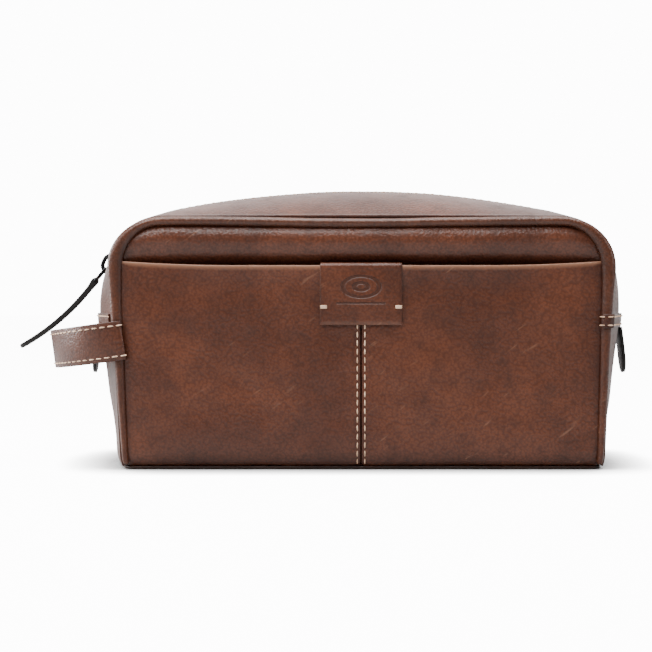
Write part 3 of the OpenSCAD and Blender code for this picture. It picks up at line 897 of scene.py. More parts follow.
# %% The back wall
BACK_Y = back_high.y - 0.9


def back_depth(x, z, half):
    side = 1 - near_edge(half - abs(x), 22.0)
    top = 1 - near_edge(SEAM_TOP - 4 - z, 18.0)
    low = 1 - near_edge(z - 2, 10.0)
    return BACK_Y + 1.6 * side * top * low + 0.5 * ripple(x, 90, z, 30)


def back_seam(p):
    half = panel_half_width(min(p[2], SEAM_TOP - 4), 4.4)
    return min(1.0, near_edge(half - abs(p[0]), 7.0) + near_edge(SEAM_TOP - 4 - p[2], 7.0)
               + near_edge(p[2] - 2, 6.0))


back_wall = grid_object("back_wall", panel_grid(4.4, BASE_T + 0.3, back_depth), False, back_seam)
fill_with_cloth(back_wall, lambda p: p.z < 8 or p.z > SEAM_TOP - 8
                or panel_half_width(min(p.z, SEAM_TOP - 5), 4.4) - abs(p.x) < 4, 2.2, 3.0)
thicken(back_wall, LEATHER)
dress(back_wall, tan)
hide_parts("back_panel")
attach(back_wall, "bag")

# %% [markdown]
# ## The pocket
# Two skins meet at a seam down the middle. Beside the seam the leather is drawn
# in and held by two rows of stitches. The label's weight lets the top edge sag,
# and the bottom edge curls under to the base.

# %% The two pocket skins
SEAM_ROW = 2.0
SAG = 2.3
RIDGE_Y = (roll_low.y + roll_high.y) / 2
RIDGE_INSET = 2.6


def ridge_half_width(z):
    low = 1.5 + 1.5 * min(1.0, max(0.0, (z - 4) / 90))
    corner = 0.75 * math.exp(-((z - 112) / 14) ** 2)
    top = -0.75 * max(0.0, min(1.0, (z - 122) / 10))
    return low + corner + top


def pocket_half(z):
    return panel_half_width(z, RIDGE_INSET + ridge_half_width(z) - 0.1)


def pocket_edge(x, half):
    return POCKET_TOP + 0.7 - SAG * (1 - near_edge(half - abs(x), 60))


def pocket_y(x, z, half, top):
    bulge = (1 - near_edge(half - abs(x), 34)) * (1 - near_edge(z, 26)) * mix(1, 0.45, z / top)
    pull = 0.75 * math.exp(-(x / 1.1) ** 2) + 0.35 * math.exp(-((abs(x) - SEAM_ROW) / 0.9) ** 2)
    flare = 0.5 * near_edge(half - abs(x), 9)
    curl = 4.2 * near_edge(z - 1.5, 7.0)
    waves = 0.75 * ripple(x, 0, z, 34) * (1 - near_edge(half - abs(x), 14))
    gape = 1.1 * near_edge(top - z, 16) * (1 - near_edge(half - abs(x), 70))
    return -(POCKET_FACE + 0.2 + 1.7 * bulge + waves + gape) + pull + flare + curl


def pocket_skin(name, side, rows=40, cols=44):
    grid = []
    for i in range(rows):
        t = i / (rows - 1)
        row = []
        for j in range(cols):
            u = (j / (cols - 1)) ** 1.35
            z0 = BASE_T - 0.3 + t * (POCKET_TOP - BASE_T)
            half = pocket_half(z0)
            x = 0.06 + u * (half - 0.06)
            top = pocket_edge(x, half)
            z = BASE_T - 0.3 + t * (top - BASE_T + 0.3)
            row.append((side * x, pocket_y(x, z, half, top), z))
        grid.append(row)

    def seam(p):
        half = pocket_half(min(p[2], POCKET_TOP))
        # The top edge gets a pale painted highlight where the folded edge catches the light.
        if p[2] > pocket_edge(p[0], half) - 0.9:
            return -1.0
        # Darker beside the side seams and the middle seam, and painted shade towards the bottom edge,
        # which curls under.
        return min(1.0, near_edge(half - abs(p[0]), 6) + 0.9 * near_edge(abs(p[0]), 3)
                   + 1.5 * near_edge(p[2], 9))

    skin = grid_object(name, grid, side < 0, seam)
    fix_outward(skin, Vector((0, -1, 0)))
    return dress(thicken(skin, LEATHER, 0.7), tan)


def fix_outward(obj, outward):
    total = sum((p.normal * p.area for p in obj.data.polygons), Vector())
    if total.dot(outward) < 0:
        obj.data.flip_normals()


for name, side, node in (("pocket_skin_left", -1, "pocket_left"),
                         ("pocket_skin_right", 1, "pocket_right")):
    skin = pocket_skin(name, side)
    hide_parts(node)
    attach(skin, "bag")
print("pocket skins made")

# %% [markdown]
# ## The label
# The label is one patch folded over the pocket's edge, so its section is a
# narrow hook. A plain ring over a bar is pressed into it, which a height drawn
# from its own coordinates gives.

# %% The label
LABEL_W = (label_high.x - label_low.x) / 2
LABEL_T = 1.2


def label_section(x):
    edge = pocket_edge(abs(x), 127) - 0.5
    face = pocket_y(max(abs(x), 6), edge - 15, 127, edge)
    low = label_low.z - 1.3
    puff = 0.35 * (1 - (x / LABEL_W) ** 2)
    outer = [(face - 0.2 - puff * math.sin(math.pi * t), mix(low, edge - 1, t))
             for t in [i / 12 for i in range(13)]]
    bend = [(face + 0.6 - 1.0 * math.cos(a), edge - 0.7 + 1.5 * math.sin(a))
            for a in [math.radians(v) for v in (20, 50, 80, 110, 140, 170)]]
    back = [(face + 2.3, z) for z in (edge - 2, edge - 6, edge - 10, edge - 14)]
    return outer + bend + back


def label_seam(p):
    if p[2] < label_low.z - 0.7:
        return -0.25
    return min(1.0, near_edge(LABEL_W - abs(p[0]), 2.2))


def make_label(cols=30):
    xs = [mix(-LABEL_W, LABEL_W, j / (cols - 1)) for j in range(cols)]
    columns = [label_section(x) for x in xs]
    grid = [[(xs[j], columns[j][i][0], columns[j][i][1]) for j in range(cols)]
            for i in range(len(columns[0]))]
    patch = grid_object("label_patch", grid, False, label_seam)
    near = [p for p in patch.data.polygons if p.center.z < (POCKET_TOP - 5) * MM
            and p.center.y < (-POCKET_FACE + 0.8) * MM]
    if sum(p.normal.y for p in near) > 0:
        patch.data.flip_normals()
    solid = patch.modifiers.new("thickness", "SOLIDIFY")
    solid.thickness = LABEL_T * MM
    solid.offset = 1
    bevel = patch.modifiers.new("rounding", "BEVEL")
    bevel.width = 0.45 * MM
    bevel.segments = 2
    bevel.limit_method = "ANGLE"
    bevel.angle_limit = math.radians(50)
    return plain_mesh(patch)


def pressed_mark_material():
    material = tan.copy()
    material.name = "label_leather"
    tree = material.node_tree
    link = tree.links.new
    shader = tree.nodes["Principled BSDF"]
    place = [n for n in tree.nodes if n.bl_idname == "ShaderNodeTexCoord"][0].outputs["Object"]
    middle = (label_low.z + label_high.z) / 2 * MM + 0.0025
    centred = add_node(tree, "ShaderNodeMapping")
    centred.inputs["Location"].default_value = (0, 0, -middle)
    link(place, centred.inputs["Vector"])
    split = tree.nodes.new("ShaderNodeSeparateXYZ")
    link(centred.outputs[0], split.inputs[0])
    x, z = split.outputs["X"], split.outputs["Z"]
    wide = math_node(tree, "DIVIDE", x, 0.0098)
    tall = math_node(tree, "DIVIDE", z, 0.0056)
    away = math_node(tree, "SQRT", math_node(tree, "ADD", math_node(tree, "MULTIPLY", wide, wide),
                                             math_node(tree, "MULTIPLY", tall, tall)))
    ring = soft_band(tree, math_node(tree, "SUBTRACT", away, 1.0), 0.09, 0.16)
    inner = soft_band(tree, math_node(tree, "SUBTRACT", away, 0.36), 0.10, 0.17)
    bar = math_node(tree, "MULTIPLY", soft_band(tree, math_node(tree, "ADD", z, 0.0088), 0.0003, 0.0006),
                    soft_band(tree, x, 0.0125, 0.0135))
    mark = math_node(tree, "MAXIMUM", math_node(tree, "MAXIMUM", ring, inner), bar)
    old = shader.inputs["Base Color"].links[0].from_socket
    shown = math_node(tree, "MULTIPLY", mark, 0.62)
    link(color_mix(tree, shown, old, (0.035, 0.013, 0.008, 1)), shader.inputs["Base Color"])
    press = add_node(tree, "ShaderNodeBump", {"Strength": 1.0, "Distance": 0.0005})
    press.invert = True
    link(mark, press.inputs["Height"])
    link(shader.inputs["Normal"].links[0].from_socket, press.inputs["Normal"])
    link(press.outputs["Normal"], shader.inputs["Normal"])
    return material


def soft_band(tree, value, half, fade):
    away = math_node(tree, "ABSOLUTE", value)
    near = soft_steps(tree, away, half, fade)
    return math_node(tree, "SUBTRACT", 1.0, near)


label_patch = dress(make_label(), pressed_mark_material())
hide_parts("label")
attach(label_patch, "bag")
print("label made", round(2 * LABEL_W, 1), "mm wide")

# %% [markdown]
# ## The rolled ridges
# The gusset and the walls are sewn face to face and turned, and the turned
# seam makes a soft ridge. It is fullest at the top corners, thinner along the
# top, and nearly gone at the base, so its section changes along one sweep.

# %% The ridges
def ridge_path(count=34):
    left = resample([side_point(0, BASE_T + 0.6, RIDGE_INSET)]
                    + [side_point(0, z, RIDGE_INSET) for z in range(6, 106, 6)]
                    + [arc_point(0, mix(-SEAM_LEAN, 90, i / 16), RIDGE_INSET) for i in range(17)],
                    count)
    right = [(-x, z) for x, z in reversed(left)]
    top = [(mix(left[-1][0], right[0][0], i / 21), left[-1][1]) for i in range(1, 21)]
    return left + top + right


def ridge_crease_shade(w, t, section):
    # The ridge's inner side, where it meets the wall, is darkened: painted shade in the crease.
    inside = max(0.0, -w) / 3.0
    return min(1.0, inside ** 2 * 1.1)


def make_ridge(name, side):
    path = ridge_path()
    stations = []
    for i, (x, z) in enumerate(path):
        a, b = path[max(0, i - 1)], path[min(len(path) - 1, i + 1)]
        along = Vector((b[0] - a[0], 0, b[1] - a[1])).normalized()
        outward = Vector((-along.z, 0, along.x))
        half = ridge_half_width(z) * (1 + 0.07 * noise.noise(Vector((x, 3 * side, z)) / 9))
        deep = 3.0 + 0.25 * noise.noise(Vector((x, 7, z)) / 14)
        section = [((half + (0.5 if math.cos(a) < 0 else 0)) * math.cos(a), deep * math.sin(a))
                   for a in [2 * math.pi * k / 20 for k in range(20)]]
        sag = -1.3 * math.exp(-(x / 62) ** 2) if z > SEAM_TOP - 5 else 0.0
        drift = 0.35 * ripple(x, 50 * side, z, 30)
        middle = Vector((x, side * abs(RIDGE_Y), z + sag)) + outward * drift
        stations.append((middle, outward, Vector((0, side, 0)), section))
    ridge = sweep(name, stations, seam=ridge_crease_shade)
    subdivide = ridge.modifiers.new("smooth", "SUBSURF")
    subdivide.levels = subdivide.render_levels = 1
    return dress(plain_mesh(ridge), shaded_ridge_tan)


for name, side, node in (("front_ridge", -1, "front_welt"), ("back_ridge", 1, "back_welt")):
    ridge = make_ridge(name, side)
    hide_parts(node)
    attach(ridge, "bag")
print("ridges made")

# %% [markdown]
# ## The gusset
# On each side of the zip one strip of leather runs from end to end. Its edge at
# the zip is turned under and stitched, which leaves a low bead and a groove.
# The middle of each strip lifts when the mouth opens and its ends stay, so a
# strip is made in a left and a right half.

# %% Gusset strips
STITCH_LINE = ZIP_EDGE + 2.6


def edge_relief(y):
    away = abs(y)
    bead = 0.4 * math.exp(-((away - ZIP_EDGE - 1.0) / 0.9) ** 2)
    groove = 0.22 * math.exp(-((away - STITCH_LINE) / 0.75) ** 2)
    return groove - bead


def strip_depths(side):
    near = [ZIP_EDGE, 6.4, 7.0, 7.6, 8.1, 8.6, 9.1, 9.8, 11, 13]
    far = [16, 20, 25, 30, 35, 40, 44, 48, 51, 53.5, 55.5, 57.2]
    made = [side * v for v in near + far]
    return sorted(made)


def gusset_seam(p):
    away = abs(p[1])
    return min(1.0, 0.8 * near_edge(57 - away, 5) + 0.75 * near_edge(away - ZIP_EDGE, 3.2))


MIDDLE_LAP = 0.35    # the halves pass the middle by this, so no groove shows there


def gusset_strip(name, y_side, x_side):
    ys = strip_depths(y_side)
    columns = []
    for y in ys:
        column = []
        for x, z in zip_row(swell(y), edge_relief(y), MIDDLE_LAP):
            out = Vector((x, 0, z - 60)).normalized()
            lift = 0.55 * ripple(x_side * x, y, z, 34) * (1 - near_edge(57 - abs(y), 8))
            column.append((x_side * (x + out.x * lift), y, z + out.z * lift))
        columns.append(column)
    grid = [[columns[j][i] for j in range(len(ys))] for i in range(len(columns[0]))]
    strip = grid_object(name, grid, False, gusset_seam)
    fix_outward(strip, Vector((0, 0, 1)))
    return dress(thicken(strip, LEATHER, 0.3), tan)


def blend_to_mouth(piece, x_side, y_side):
    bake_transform(piece)


for y_side, part in ((-1, "front"), (1, "back")):
    for x_side, end in ((1, "left"), (-1, "right")):
        strip = gusset_strip(f"gusset_{part}_{end}", y_side, x_side)
        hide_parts(f"corner_{part}_{end}", f"mouth_{part}")
        blend_to_mouth(strip, x_side, y_side)
print("gusset strips made")

# %% [markdown]
# ## The ends and the base
# Below the zip each end is one panel. It is drawn from the same outline rule,
# with a slight hollow low down where the stiff base stops and the soft end
# begins. The base is a stiff sheet with rounded edges.

# %% The end panels
def end_panel(name, x_side):
    ys = [mix(-57.2, 57.2, j / 36) for j in range(37)]
    columns = []
    for y in ys:
        column = []
        for x, z in end_row(swell(y), BASE_T - 0.2, END_SEAM, 0.0, 20):
            middle = (1 - near_edge(57 - abs(y), 18))
            hollow = 0.9 * math.exp(-((z - 20) / 13) ** 2) * middle
            shape = 0.8 * ripple(x_side * x, y, z, 30) * middle
            column.append((x_side * (x + hollow - shape), y, z))
        columns.append(column)
    grid = [[columns[j][i] for j in range(len(ys))] for i in range(20)]

    def seam(p):
        return min(1.0, near_edge(57 - abs(p[1]), 6) + near_edge(p[2], 7))

    panel = grid_object(name, grid, False, seam)
    fix_outward(panel, Vector((-x_side, 0, 0)))
    return dress(thicken(panel, LEATHER, 0.3), tan)


for name, x_side, node in (("end_panel_left", 1, "end_left"), ("end_panel_right", -1, "end_right")):
    panel = end_panel(name, x_side)
    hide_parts(node)
    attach(panel, "bag")


# %% The base
def base_sheet(rows=48, cols=25):
    half_depth = box_mm("base_panel")[1].y - 1.4
    grid = []
    for i in range(rows):
        u = -1 + 2 * i / (rows - 1)
        row = []
        for j in range(cols):
            y = half_depth * (-1 + 2 * j / (cols - 1))
            half = -side_point(swell(y), BASE_T, 0.0)[0] + 0.2
            corner = 4.0 * near_edge(half_depth - abs(y), 6)
            row.append((u * (half - corner), y, 0.02))
        grid.append(row)

    def seam(p):
        return min(1.0, near_edge(half_depth - abs(p[1]), 6) + near_edge(135 - abs(p[0]), 8))

    sheet = grid_object("base_sheet", grid, False, seam)
    fix_outward(sheet, Vector((0, 0, -1)))
    return dress(thicken(sheet, BASE_T, 0.6, 0), base_brown)


base = base_sheet()
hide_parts("base_panel")
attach(base, "bag")
print("ends and base made")

# %% [markdown]
# ## The lining
# The lining is a loose bag of cloth inside the leather. It shows only when the
# mouth is open, so it is lofted from the outline rule a few millimetres in.

# %% The lining
def lining_wall(name, node, y, flip):
    inset = 5.2
    grid = panel_grid(inset, 5.4, lambda x, z, half: y + 0.9 * ripple(x, y, z, 24), 22, 41)
    wall = grid_object(name, grid, flip)
    return node, wall


def lining_end(name, node, x_side):
    ys = [mix(-47.5, 52.5, j / 20) for j in range(21)]
    columns = [[(x_side * (x - 0.5 * ripple(x, y, z, 24)), y, z)
                for x, z in end_row(swell(y), 5.4, END_SEAM - 2, 3.0, 12)] for y in ys]
    grid = [[columns[j][i] for j in range(len(ys))] for i in range(12)]
    return node, grid_object(name, grid, x_side > 0)


def lining_shoulder(name, x_side, y_side):
    ys = [y_side * v for v in (14.8, 20, 26, 32, 38, 43, 47)]
    columns = [[(x_side * x, y, z) for x, z in corner_row(swell(y), 3.2, 14)] for y in ys]
    grid = [[columns[j][i] for j in range(len(ys))] for i in range(14)]
    return grid_object(name, grid, (x_side > 0) == (y_side > 0))


def join(target, *others):
    verts, faces, start = [], [], 0
    for obj in (target, *others):
        verts += [v.co / MM for v in obj.data.vertices]
        faces += [tuple(v + start for v in p.vertices) for p in obj.data.polygons]
        start = len(verts)
    made = new_mesh_object(target.name + "_joined", verts, faces, None, False)
    for obj in (target, *others):
        bpy.data.objects.remove(obj)
    return made


lining_front_y = box_mm("lining_front")[1].y - 0.4
lining_back_y = box_mm("lining_back")[0].y + 0.4
lining_pieces = [lining_wall("lining_wall_front", "lining_front", lining_front_y, False),
                 lining_wall("lining_wall_back", "lining_back", lining_back_y, True)]
for x_side, end in ((1, "left"), (-1, "right")):
    node, wall = lining_end(f"lining_end_{end}", f"lining_{end}", x_side)
    shoulders = [lining_shoulder(f"shoulder_{end}_{k}", x_side, k) for k in (-1, 1)]
    lining_pieces.append((node, join(wall, *shoulders)))
for node, piece in lining_pieces:
    solid = piece.modifiers.new("thickness", "SOLIDIFY")
    solid.thickness = 0.5 * MM
    solid.offset = 0
    plain_mesh(piece)
    dress(piece, lining)
    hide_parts(node)
    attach(piece, "bag")
print("lining pieces", len(lining_pieces))

# %% [markdown]
# ## Stitches and zip teeth
# Both are one small shape repeated along a line at an even pitch. A Geometry
# Nodes tree does this better than a loop: it takes the line, spaces points on
# it, and turns a copy at each point along the line and away from the leather.

# %% The tree that repeats a part along a seam
def build_repeat_tree():
    tree = bpy.data.node_groups.new("repeat_along_seam", "GeometryNodeTree")
    new = tree.interface.new_socket
    new("Line", in_out="INPUT", socket_type="NodeSocketGeometry")
    new("Pitch", in_out="INPUT", socket_type="NodeSocketFloat").default_value = 0.0045
    new("Part", in_out="INPUT", socket_type="NodeSocketObject")
    new("Finish", in_out="INPUT", socket_type="NodeSocketMaterial")
    new("Tilt", in_out="INPUT", socket_type="NodeSocketFloat").default_value = 0.06
    new("Made", in_out="OUTPUT", socket_type="NodeSocketGeometry")
    link = tree.links.new
    gi, go = tree.nodes.new("NodeGroupInput"), tree.nodes.new("NodeGroupOutput")
    curve = tree.nodes.new("GeometryNodeMeshToCurve")
    link(gi.outputs["Line"], curve.inputs["Mesh"])
    spaced = tree.nodes.new("GeometryNodeResampleCurve")
    spaced.mode = "LENGTH"
    link(curve.outputs["Curve"], spaced.inputs["Curve"])
    link(gi.outputs["Pitch"], spaced.inputs["Length"])
    part = tree.nodes.new("GeometryNodeObjectInfo")
    link(gi.outputs["Part"], part.inputs["Object"])
    tangent = tree.nodes.new("GeometryNodeInputTangent")
    away = tree.nodes.new("GeometryNodeInputNamedAttribute")
    away.data_type = "FLOAT_VECTOR"
    away.inputs["Name"].default_value = "away"
    along = tree.nodes.new("FunctionNodeAlignRotationToVector")
    along.axis = "X"
    link(tangent.outputs[0], along.inputs["Vector"])
    upright = tree.nodes.new("FunctionNodeAlignRotationToVector")
    upright.axis, upright.pivot_axis = "Z", "X"
    link(along.outputs[0], upright.inputs["Rotation"])
    link(away.outputs["Attribute"], upright.inputs["Vector"])
    chance = tree.nodes.new("FunctionNodeRandomValue")
    chance.data_type = "FLOAT"
    chance.inputs["Seed"].default_value = 7
    centre = tree.nodes.new("ShaderNodeMath")
    centre.operation = "MULTIPLY_ADD"
    centre.inputs[2].default_value = 0.0
    shifted = tree.nodes.new("ShaderNodeMath")
    shifted.operation = "SUBTRACT"
    shifted.inputs[1].default_value = 0.5
    link(chance.outputs[1], shifted.inputs[0])
    link(shifted.outputs[0], centre.inputs[0])
    link(gi.outputs["Tilt"], centre.inputs[1])
    turn = tree.nodes.new("ShaderNodeCombineXYZ")
    link(centre.outputs[0], turn.inputs["Z"])
    spin = tree.nodes.new("FunctionNodeRotateRotation")
    spin.rotation_space = "LOCAL"
    as_turn = tree.nodes.new("FunctionNodeEulerToRotation")
    link(turn.outputs[0], as_turn.inputs[0])
    link(upright.outputs[0], spin.inputs["Rotation"])
    link(as_turn.outputs[0], spin.inputs["Rotate By"])
    copies = tree.nodes.new("GeometryNodeInstanceOnPoints")
    link(spaced.outputs["Curve"], copies.inputs["Points"])
    link(part.outputs["Geometry"], copies.inputs["Instance"])
    link(spin.outputs[0], copies.inputs["Rotation"])
    solid = tree.nodes.new("GeometryNodeRealizeInstances")
    link(copies.outputs["Instances"], solid.inputs["Geometry"])
    finish = tree.nodes.new("GeometryNodeSetMaterial")
    link(solid.outputs["Geometry"], finish.inputs["Geometry"])
    link(gi.outputs["Finish"], finish.inputs["Material"])
    link(finish.outputs["Geometry"], go.inputs["Made"])
    return tree


repeat_tree = build_repeat_tree()
print("repeat tree has", len(repeat_tree.nodes), "nodes")


# %% Laying a row
def lay_row(name, runs, part, pitch, material, tilt=0.06):
    """Repeats a part along runs of (point, outward direction), and returns a plain mesh."""
    verts, edges, away = [], [], []
    for run in runs:
        start = len(verts)
        for point, out in run:
            verts.append(settle(point) * MM)
            away.append(Vector(out).normalized())
        edges += [(k, k + 1) for k in range(start, len(verts) - 1)]
    mesh = bpy.data.meshes.new(name)
    mesh.from_pydata(verts, edges, [])
    flat = [c for v in away for c in v]
    mesh.attributes.new("away", "FLOAT_VECTOR", "POINT").data.foreach_set("vector", flat)
    row = bpy.data.objects.new(name, mesh)
    bpy.context.scene.collection.objects.link(row)
    modifier = row.modifiers.new("repeat", "NODES")
    modifier.node_group = repeat_tree
    ids = {item.name: item.identifier for item in repeat_tree.interface.items_tree
           if item.in_out == "INPUT"}
    modifier[ids["Pitch"]] = pitch * MM
    modifier[ids["Part"]] = part
    modifier[ids["Finish"]] = material
    modifier[ids["Tilt"]] = tilt
    bpy.context.view_layer.update()
    plain_mesh(row)
    for polygon in row.data.polygons:
        polygon.use_smooth = True
    print(name, len(row.data.polygons), "faces")
    return row


# %% [markdown]
# A stitch is a short thread that dives into the leather at both ends, so it is
# a bent capsule. A zip tooth is a small block with a rounded head.

# %% The stitch and the tooth
STITCH_LEN = 3.3


def make_stitch(length=STITCH_LEN, half=0.36, rings=7, sides=8):
    stations = []
    for i in range(rings):
        t = -1 + 2 * i / (rings - 1)
        radius = half * math.sqrt(max(0.08, 1 - t ** 4))
        section = [(radius * 1.05 * math.cos(2 * math.pi * k / sides),
                    radius * math.sin(2 * math.pi * k / sides)) for k in range(sides)]
        stations.append(((t * length / 2, 0, 0.30 - 0.42 * t * t), (0, 1, 0), (0, 0, 1), section))
    return sweep("stitch_part", stations)


def make_tooth(reach, root, half_len=0.55, high=1.0):
    """A tooth from y = root in to y = reach, with its head rounded."""
    stations = []
    for t, grow in ((0, 0.8), (0.15, 1), (0.6, 0.86), (0.72, 1.05), (0.9, 0.95), (1, 0.55)):
        section = rounded_section(half_len * grow, high * mix(1, 0.86, t) * min(1, grow + 0.1), 0.28, 1)
        stations.append(((0, mix(root, reach, t), 0), (1, 0, 0), (0, 0, 1), section))
    return sweep("tooth_part", stations)


stitch = make_stitch()
print("stitch faces", len(stitch.data.polygons))


# %% [markdown]
# The rows follow the pieces they hold: two beside the pocket's seam, two on
# each band, two along the loop and one beside each edge of the zip.

# %% Rows on the pocket and the label
def pocket_row(x):
    zs = [mix(4.5, label_low.z - 2.0, i / 24) for i in range(25)]
    return [((x, pocket_y(abs(x), z, 127, POCKET_TOP) - 0.05, z), (0, -1, 0)) for z in zs]


seam_rows = lay_row("pocket_seam_stitches", [pocket_row(-SEAM_ROW), pocket_row(SEAM_ROW)],
                    stitch, STITCH_PITCH, thread)
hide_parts("pocket_stitches")
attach(seam_rows, "bag")

tack_z = sum(box_mm("label_tacks")[k].z for k in (0, 1)) / 2
tack_part = make_stitch(3.6, 0.30)
tack_runs = []
for side in (-1, 1):
    for k in range(4):
        z = tack_z + 0.42 * (k - 1.5)
        x = side * (LABEL_W - 1.9)
        y = label_section(x)[0][0] - LABEL_T - 0.28
        tack_runs.append([((x - 0.1, y, z), (0, -1, 0)), ((x + 0.1, y, z), (0, -1, 0))])
tacks = lay_row("label_bar_tacks", tack_runs, tack_part, 9.0, thread, 0.02)
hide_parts("label_tacks")
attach(tacks, "bag")


# %% Rows beside the zip
def zip_edge_run(y_side, x_side):
    y = y_side * STITCH_LINE
    run = []
    for x, z in zip_row(swell(y), edge_relief(y)):
        out = Vector((x, 0, z - 60)).normalized()
        lift = 0.55 * ripple(x_side * x, y, z, 34) + 0.05
        run.append(((x_side * (x + out.x * lift), y, z + out.z * lift),
                    (x_side * out.x, 0.06 * y_side, out.z)))
    return run[3:]


for y_side, part in ((-1, "front"), (1, "back")):
    for x_side, end in ((1, "left"), (-1, "right")):
        row = lay_row(f"zip_stitches_{part}_{end}", [zip_edge_run(y_side, x_side)],
                      stitch, STITCH_PITCH, thread)
        blend_to_mouth(row, x_side, y_side)

# %% [markdown]
# ## The zip
# The tapes lie under the gusset's edges. Each row of teeth is set half a pitch
# from the other so that their heads lie between each other. At the left corner
# the heads stop short of the middle, because the slider's neck passes there.

# %% Tapes and teeth
CHAIN_MIDDLE = 1.9
TEETH_PITCH = 2.2


def zip_line(d, x_side):
    return [((x_side * x, 0, z), (x_side * x, 0, z - 60)) for x, z in zip_row(1, d)][2:]


def tape_strip(name, y_side, x_side):
    ys = sorted(y_side * v for v in (0.9, 2.5, 4.0, 5.2, 6.5, 9.0, 12.0))
    line = zip_row(1, 3.5)[2:]
    grid = [[(x_side * x, y, z - 0.03 * max(0, abs(y) - 8)) for y in ys] for x, z in line]
    strip = grid_object(name, grid)
    fix_outward(strip, Vector((0, 0, 1)))
    solid = strip.modifiers.new("thickness", "SOLIDIFY")
    solid.thickness = 0.6 * MM
    solid.offset = 0
    return dress(plain_mesh(strip), tape)


def shift_along(line, amount):
    """The same line, started a little further along."""
    points = [Vector(p) for p, _ in line]
    step = (points[1] - points[0]).normalized() * amount
    return [(points[0] + step, line[0][1])] + line[1:]


tooth_open = {s: make_tooth(s * 0.72, s * 2.9) for s in (-1, 1)}
for y_side, part in ((-1, "front"), (1, "back")):
    for x_side, end in ((1, "left"), (-1, "right")):
        strip = tape_strip(f"tape_{part}_{end}", y_side, x_side)
        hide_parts(f"zip_tape_{end}", f"zip_tape_{part}")
        blend_to_mouth(strip, x_side, y_side)
        line = zip_line(CHAIN_MIDDLE, x_side)
        if y_side > 0:
            line = shift_along(line, TEETH_PITCH / 2)
        turned = y_side * x_side
        teeth = lay_row(f"teeth_{part}_{end}", [line], tooth_open[turned], TEETH_PITCH, gunmetal, 0.0)
        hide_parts(f"zip_teeth_{end}", f"zip_teeth_{part}")
        blend_to_mouth(teeth, x_side, y_side)
for part in tooth_open.values():
    bpy.data.objects.remove(part)
print("zip laid")

# %% [markdown]
# ## Hardware: slider, link and pull
# The slider is two shaped plates on a neck, with a bridge that holds the link.
# All of it follows the corner's arc, so its stations are set by an angle and a
# radius about the arc's centre, as the joint turns it.

# %% Slider, link and pull
SLIDER_AT = 27.0
SLIDER_SPAN = 15.0 / ZIP_R * 180 / math.pi


def on_arc(angle, radius):
    a = math.radians(angle)
    return Vector((-ZIP_X - radius * math.cos(a), 0, ZIP_Z + radius * math.sin(a)))


def arc_out(angle):
    a = math.radians(angle)
    return Vector((-math.cos(a), 0, math.sin(a)))


def plate(name, radius, half_t, widths):
    stations = []
    for k, half_w in enumerate(widths):
        t = k / (len(widths) - 1)
        angle = SLIDER_AT + SLIDER_SPAN * (t - 0.5)
        section = rounded_section(half_w, half_t, 0.5)
        stations.append((on_arc(angle, radius), (0, 1, 0), arc_out(angle), section))
    return sweep(name, stations)


def bridge_arch():
    stations = []
    for k in range(15):
        t = k / 14
        angle = mix(SLIDER_AT - 6.0, SLIDER_AT + 4.6, t)
        rise = 4.3 * (1 - abs(2 * t - 1) ** 3.2)
        section = rounded_section(mix(1.8, 1.4, math.sin(math.pi * t)), 1.15, 0.7)
        slope = -4.3 * 3.2 * math.copysign(abs(2 * t - 1) ** 2.2, 2 * t - 1) * 2 / 10.8
        along = Vector((-arc_out(angle).z, 0, arc_out(angle).x)) * -1
        out = (arc_out(angle) - along * slope).normalized()
        stations.append((on_arc(angle, ZIP_R + 1.1 + rise), (0, 1, 0), out, section))
    return sweep("bridge", stations)


def make_slider():
    top = plate("top", ZIP_R + 0.45, 0.72, [2.2, 3.1, 3.8, 4.2, 4.35, 4.35, 4.2, 3.9, 3.3, 2.4])
    low = plate("low", ZIP_R - 4.85, 0.5, [2.0, 3.0, 3.6, 3.9, 3.95, 3.95, 3.8, 3.5, 3.0, 2.2])
    parts = [top, low, bridge_arch()]
    for side in (-1, 1):
        stations = []
        for k in range(8):
            angle = SLIDER_AT + SLIDER_SPAN * (0.15 + 0.7 * k / 7 - 0.5)
            middle = on_arc(angle, ZIP_R - 1.25) + Vector((0, side * 3.8, 0))
            stations.append((middle, (0, 1, 0), arc_out(angle), rounded_section(0.45, 1.4, 0.3)))
        parts.append(sweep(f"flange_{side}", stations))
    neck = [(on_arc(SLIDER_AT - SLIDER_SPAN * 0.36 + a, ZIP_R - 2.0), (0, 1, 0),
             arc_out(SLIDER_AT), rounded_section(0.42, 3.0, 0.3)) for a in (0, 1.2, 2.4, 3.6)]
    parts.append(sweep("neck", neck))
    return dress(join(*parts), gunmetal)


slider = make_slider()
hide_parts("slider")
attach(slider, "zip_slider")

joint_at = {j["name"]: Vector(j["pos_m"]) / MM for j in frame["joints"]}
link_top, link_foot = joint_at["link_swing"], joint_at["pull_swing"]


